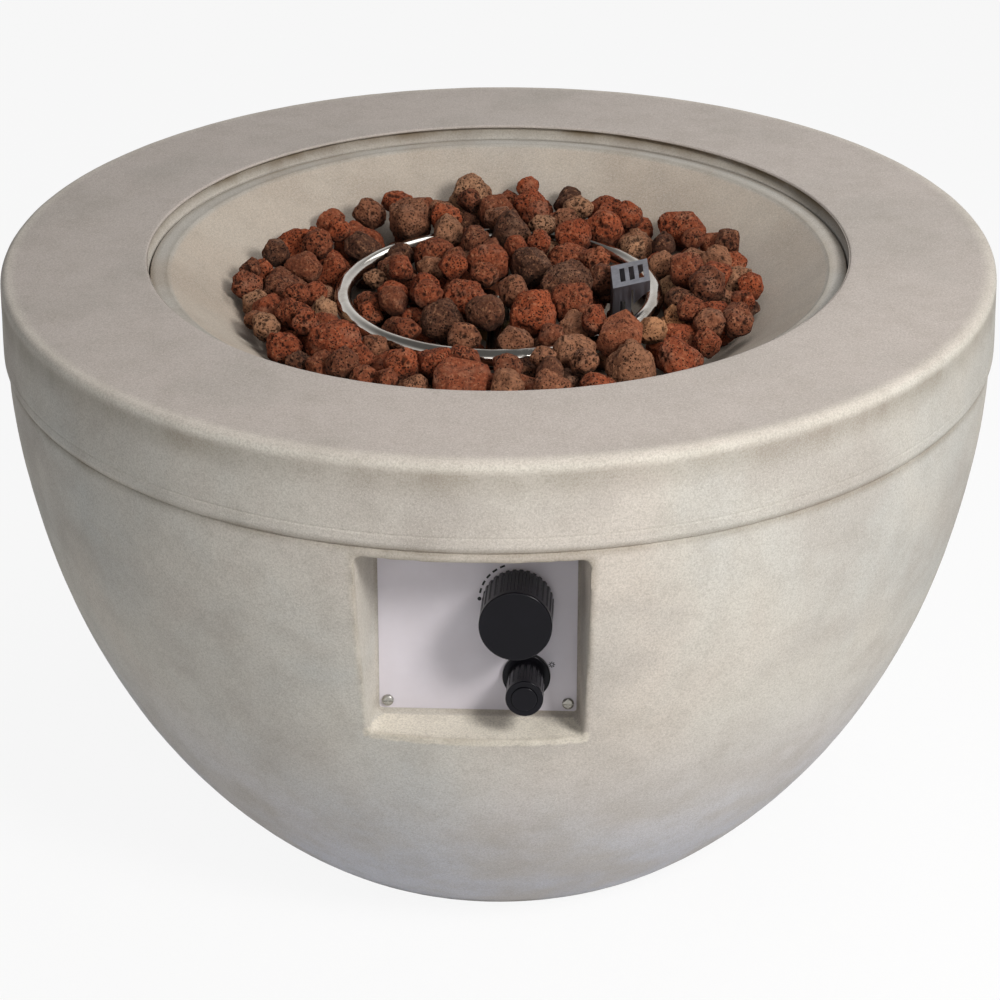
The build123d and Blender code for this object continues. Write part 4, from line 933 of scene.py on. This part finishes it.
# Stage, light and camera
FLOOR_HALF = 9
FLOOR_WHITE = 0.9
AMBIENT = 0.245
BACKDROP_DIMMING = (("From Min", 0.28), ("From Max", 0.8), ("To Min", 1.0), ("To Max", 0.15))
CARD_COLOUR = (0.9, 0.94, 1.0)
SENSOR_WIDTH = 36.0


def build_floor():
    corners = [(x * FLOOR_HALF, y * FLOOR_HALF, 0) for x, y in ((-1, -1), (1, -1), (1, 1), (-1, 1))]
    mesh = mesh_of("floor", corners, [(0, 1, 2, 3)], smooth=False)
    floor = bpy.data.objects.new("floor", mesh)
    bpy.context.scene.collection.objects.link(floor)
    look = Look("floor_white")
    look.set(Base_Color=rgb(238, 238, 237), Roughness=0.9)
    path = look.add("ShaderNodeLightPath")
    seen = look.math("MAXIMUM", path.outputs["Is Camera Ray"], path.outputs["Is Glossy Ray"])
    seen = look.math("MAXIMUM", seen, path.outputs["Is Transmission Ray"])
    white = look.add("ShaderNodeEmission")
    blend = look.add("ShaderNodeMixShader")
    look.put(blend.inputs[0], look.math("MULTIPLY", seen, FLOOR_WHITE))
    look.put(blend.inputs[1], look.shader.outputs[0])
    look.put(blend.inputs[2], white.outputs[0])
    look.put(look.tree.nodes["Material Output"].inputs["Surface"], blend.outputs[0])
    mesh.materials.append(look.material)


def build_world():
    world = bpy.data.worlds.new("studio")
    bpy.context.scene.world = world
    world.use_nodes = True
    tree = world.node_tree
    tree.nodes.clear()
    path = tree.nodes.new("ShaderNodeLightPath")
    glossy, seen = (tree.nodes.new("ShaderNodeMath") for _ in range(2))
    glossy.operation = seen.operation = "MAXIMUM"
    tree.links.new(path.outputs["Is Glossy Ray"], glossy.inputs[0])
    tree.links.new(path.outputs["Is Transmission Ray"], glossy.inputs[1])
    tree.links.new(path.outputs["Is Camera Ray"], seen.inputs[0])
    tree.links.new(glossy.outputs[0], seen.inputs[1])
    ambient = tree.nodes.new("ShaderNodeBackground")
    ambient.inputs["Color"].default_value = (0.96, 0.97, 1.0, 1.0)
    ambient.inputs["Strength"].default_value = AMBIENT
    backdrop = tree.nodes.new("ShaderNodeBackground")
    backdrop.inputs["Color"].default_value = (1.0, 1.0, 1.0, 1.0)
    place = tree.nodes.new("ShaderNodeTexCoord")
    split = tree.nodes.new("ShaderNodeSeparateXYZ")
    tree.links.new(place.outputs["Generated"], split.inputs[0])
    dimming = tree.nodes.new("ShaderNodeMapRange")
    dimming.interpolation_type = "SMOOTHSTEP"
    for key, value in BACKDROP_DIMMING:
        dimming.inputs[key].default_value = value
    tree.links.new(split.outputs["Z"], dimming.inputs["Value"])
    tree.links.new(dimming.outputs["Result"], backdrop.inputs["Strength"])
    blend = tree.nodes.new("ShaderNodeMixShader")
    tree.links.new(seen.outputs[0], blend.inputs[0])
    tree.links.new(ambient.outputs[0], blend.inputs[1])
    tree.links.new(backdrop.outputs[0], blend.inputs[2])
    output = tree.nodes.new("ShaderNodeOutputWorld")
    tree.links.new(blend.outputs[0], output.inputs["Surface"])


def soft_box(name, at, towards, width, height, power, colour, seen=True):
    light = bpy.data.lights.new(name, "AREA")
    light.shape = "RECTANGLE"
    light.size = width
    light.size_y = height
    light.energy = power
    light.color = colour
    lamp = bpy.data.objects.new(name, light)
    lamp.visible_camera = seen
    lamp.location = at
    lamp.rotation_euler = (Vector(towards) - Vector(at)).to_track_quat("-Z", "Y").to_euler()
    bpy.context.scene.collection.objects.link(lamp)


def build_camera():
    data = bpy.data.cameras.new("camera")
    data.sensor_width = SENSOR_WIDTH
    data.lens = CAMERA_LENS
    camera = bpy.data.objects.new("camera", data)
    turn, pitch = CAMERA_TURN, CAMERA_PITCH
    reach = math.cos(pitch)
    forward = Vector((-math.sin(turn) * reach, math.cos(turn) * reach, -math.sin(pitch)))
    level = Vector((math.cos(turn), math.sin(turn), 0))
    upright = level.cross(forward)
    right = level * math.cos(CAMERA_ROLL) + upright * math.sin(CAMERA_ROLL)
    up = upright * math.cos(CAMERA_ROLL) - level * math.sin(CAMERA_ROLL)
    facing = Matrix((right, up, -forward)).transposed().to_4x4()
    camera.matrix_world = Matrix.Translation(CAMERA_AT) @ facing
    bpy.context.scene.collection.objects.link(camera)
    bpy.context.scene.camera = camera


build_floor()
build_world()
soft_box("key_light", (0.83, -1.15, 1.33), (0, 0, 0.3), 0.4, 0.4, 19.2, (1.0, 0.98, 0.96))
soft_box("front_light", (0.1, -2.2, 1.2), (0, 0, 0.3), 1.2, 0.8, 5, (0.99, 0.99, 1.0))
soft_box("top_light", (0.65, 0.65, 1.55), (0, 0, 0.4), 0.9, 0.7, 6, (1.0, 1.0, 1.0))
soft_box("left_card", (-0.5, -0.5, 0.02), (-0.16, -0.16, 0.12), 0.5, 0.3, 0.16, CARD_COLOUR, False)
soft_box("right_card", (0.5, -0.5, 0.02), (0.16, -0.16, 0.12), 0.5, 0.3, 0.26, CARD_COLOUR, False)
build_camera()
bpy.context.scene.view_settings.view_transform = "Standard"
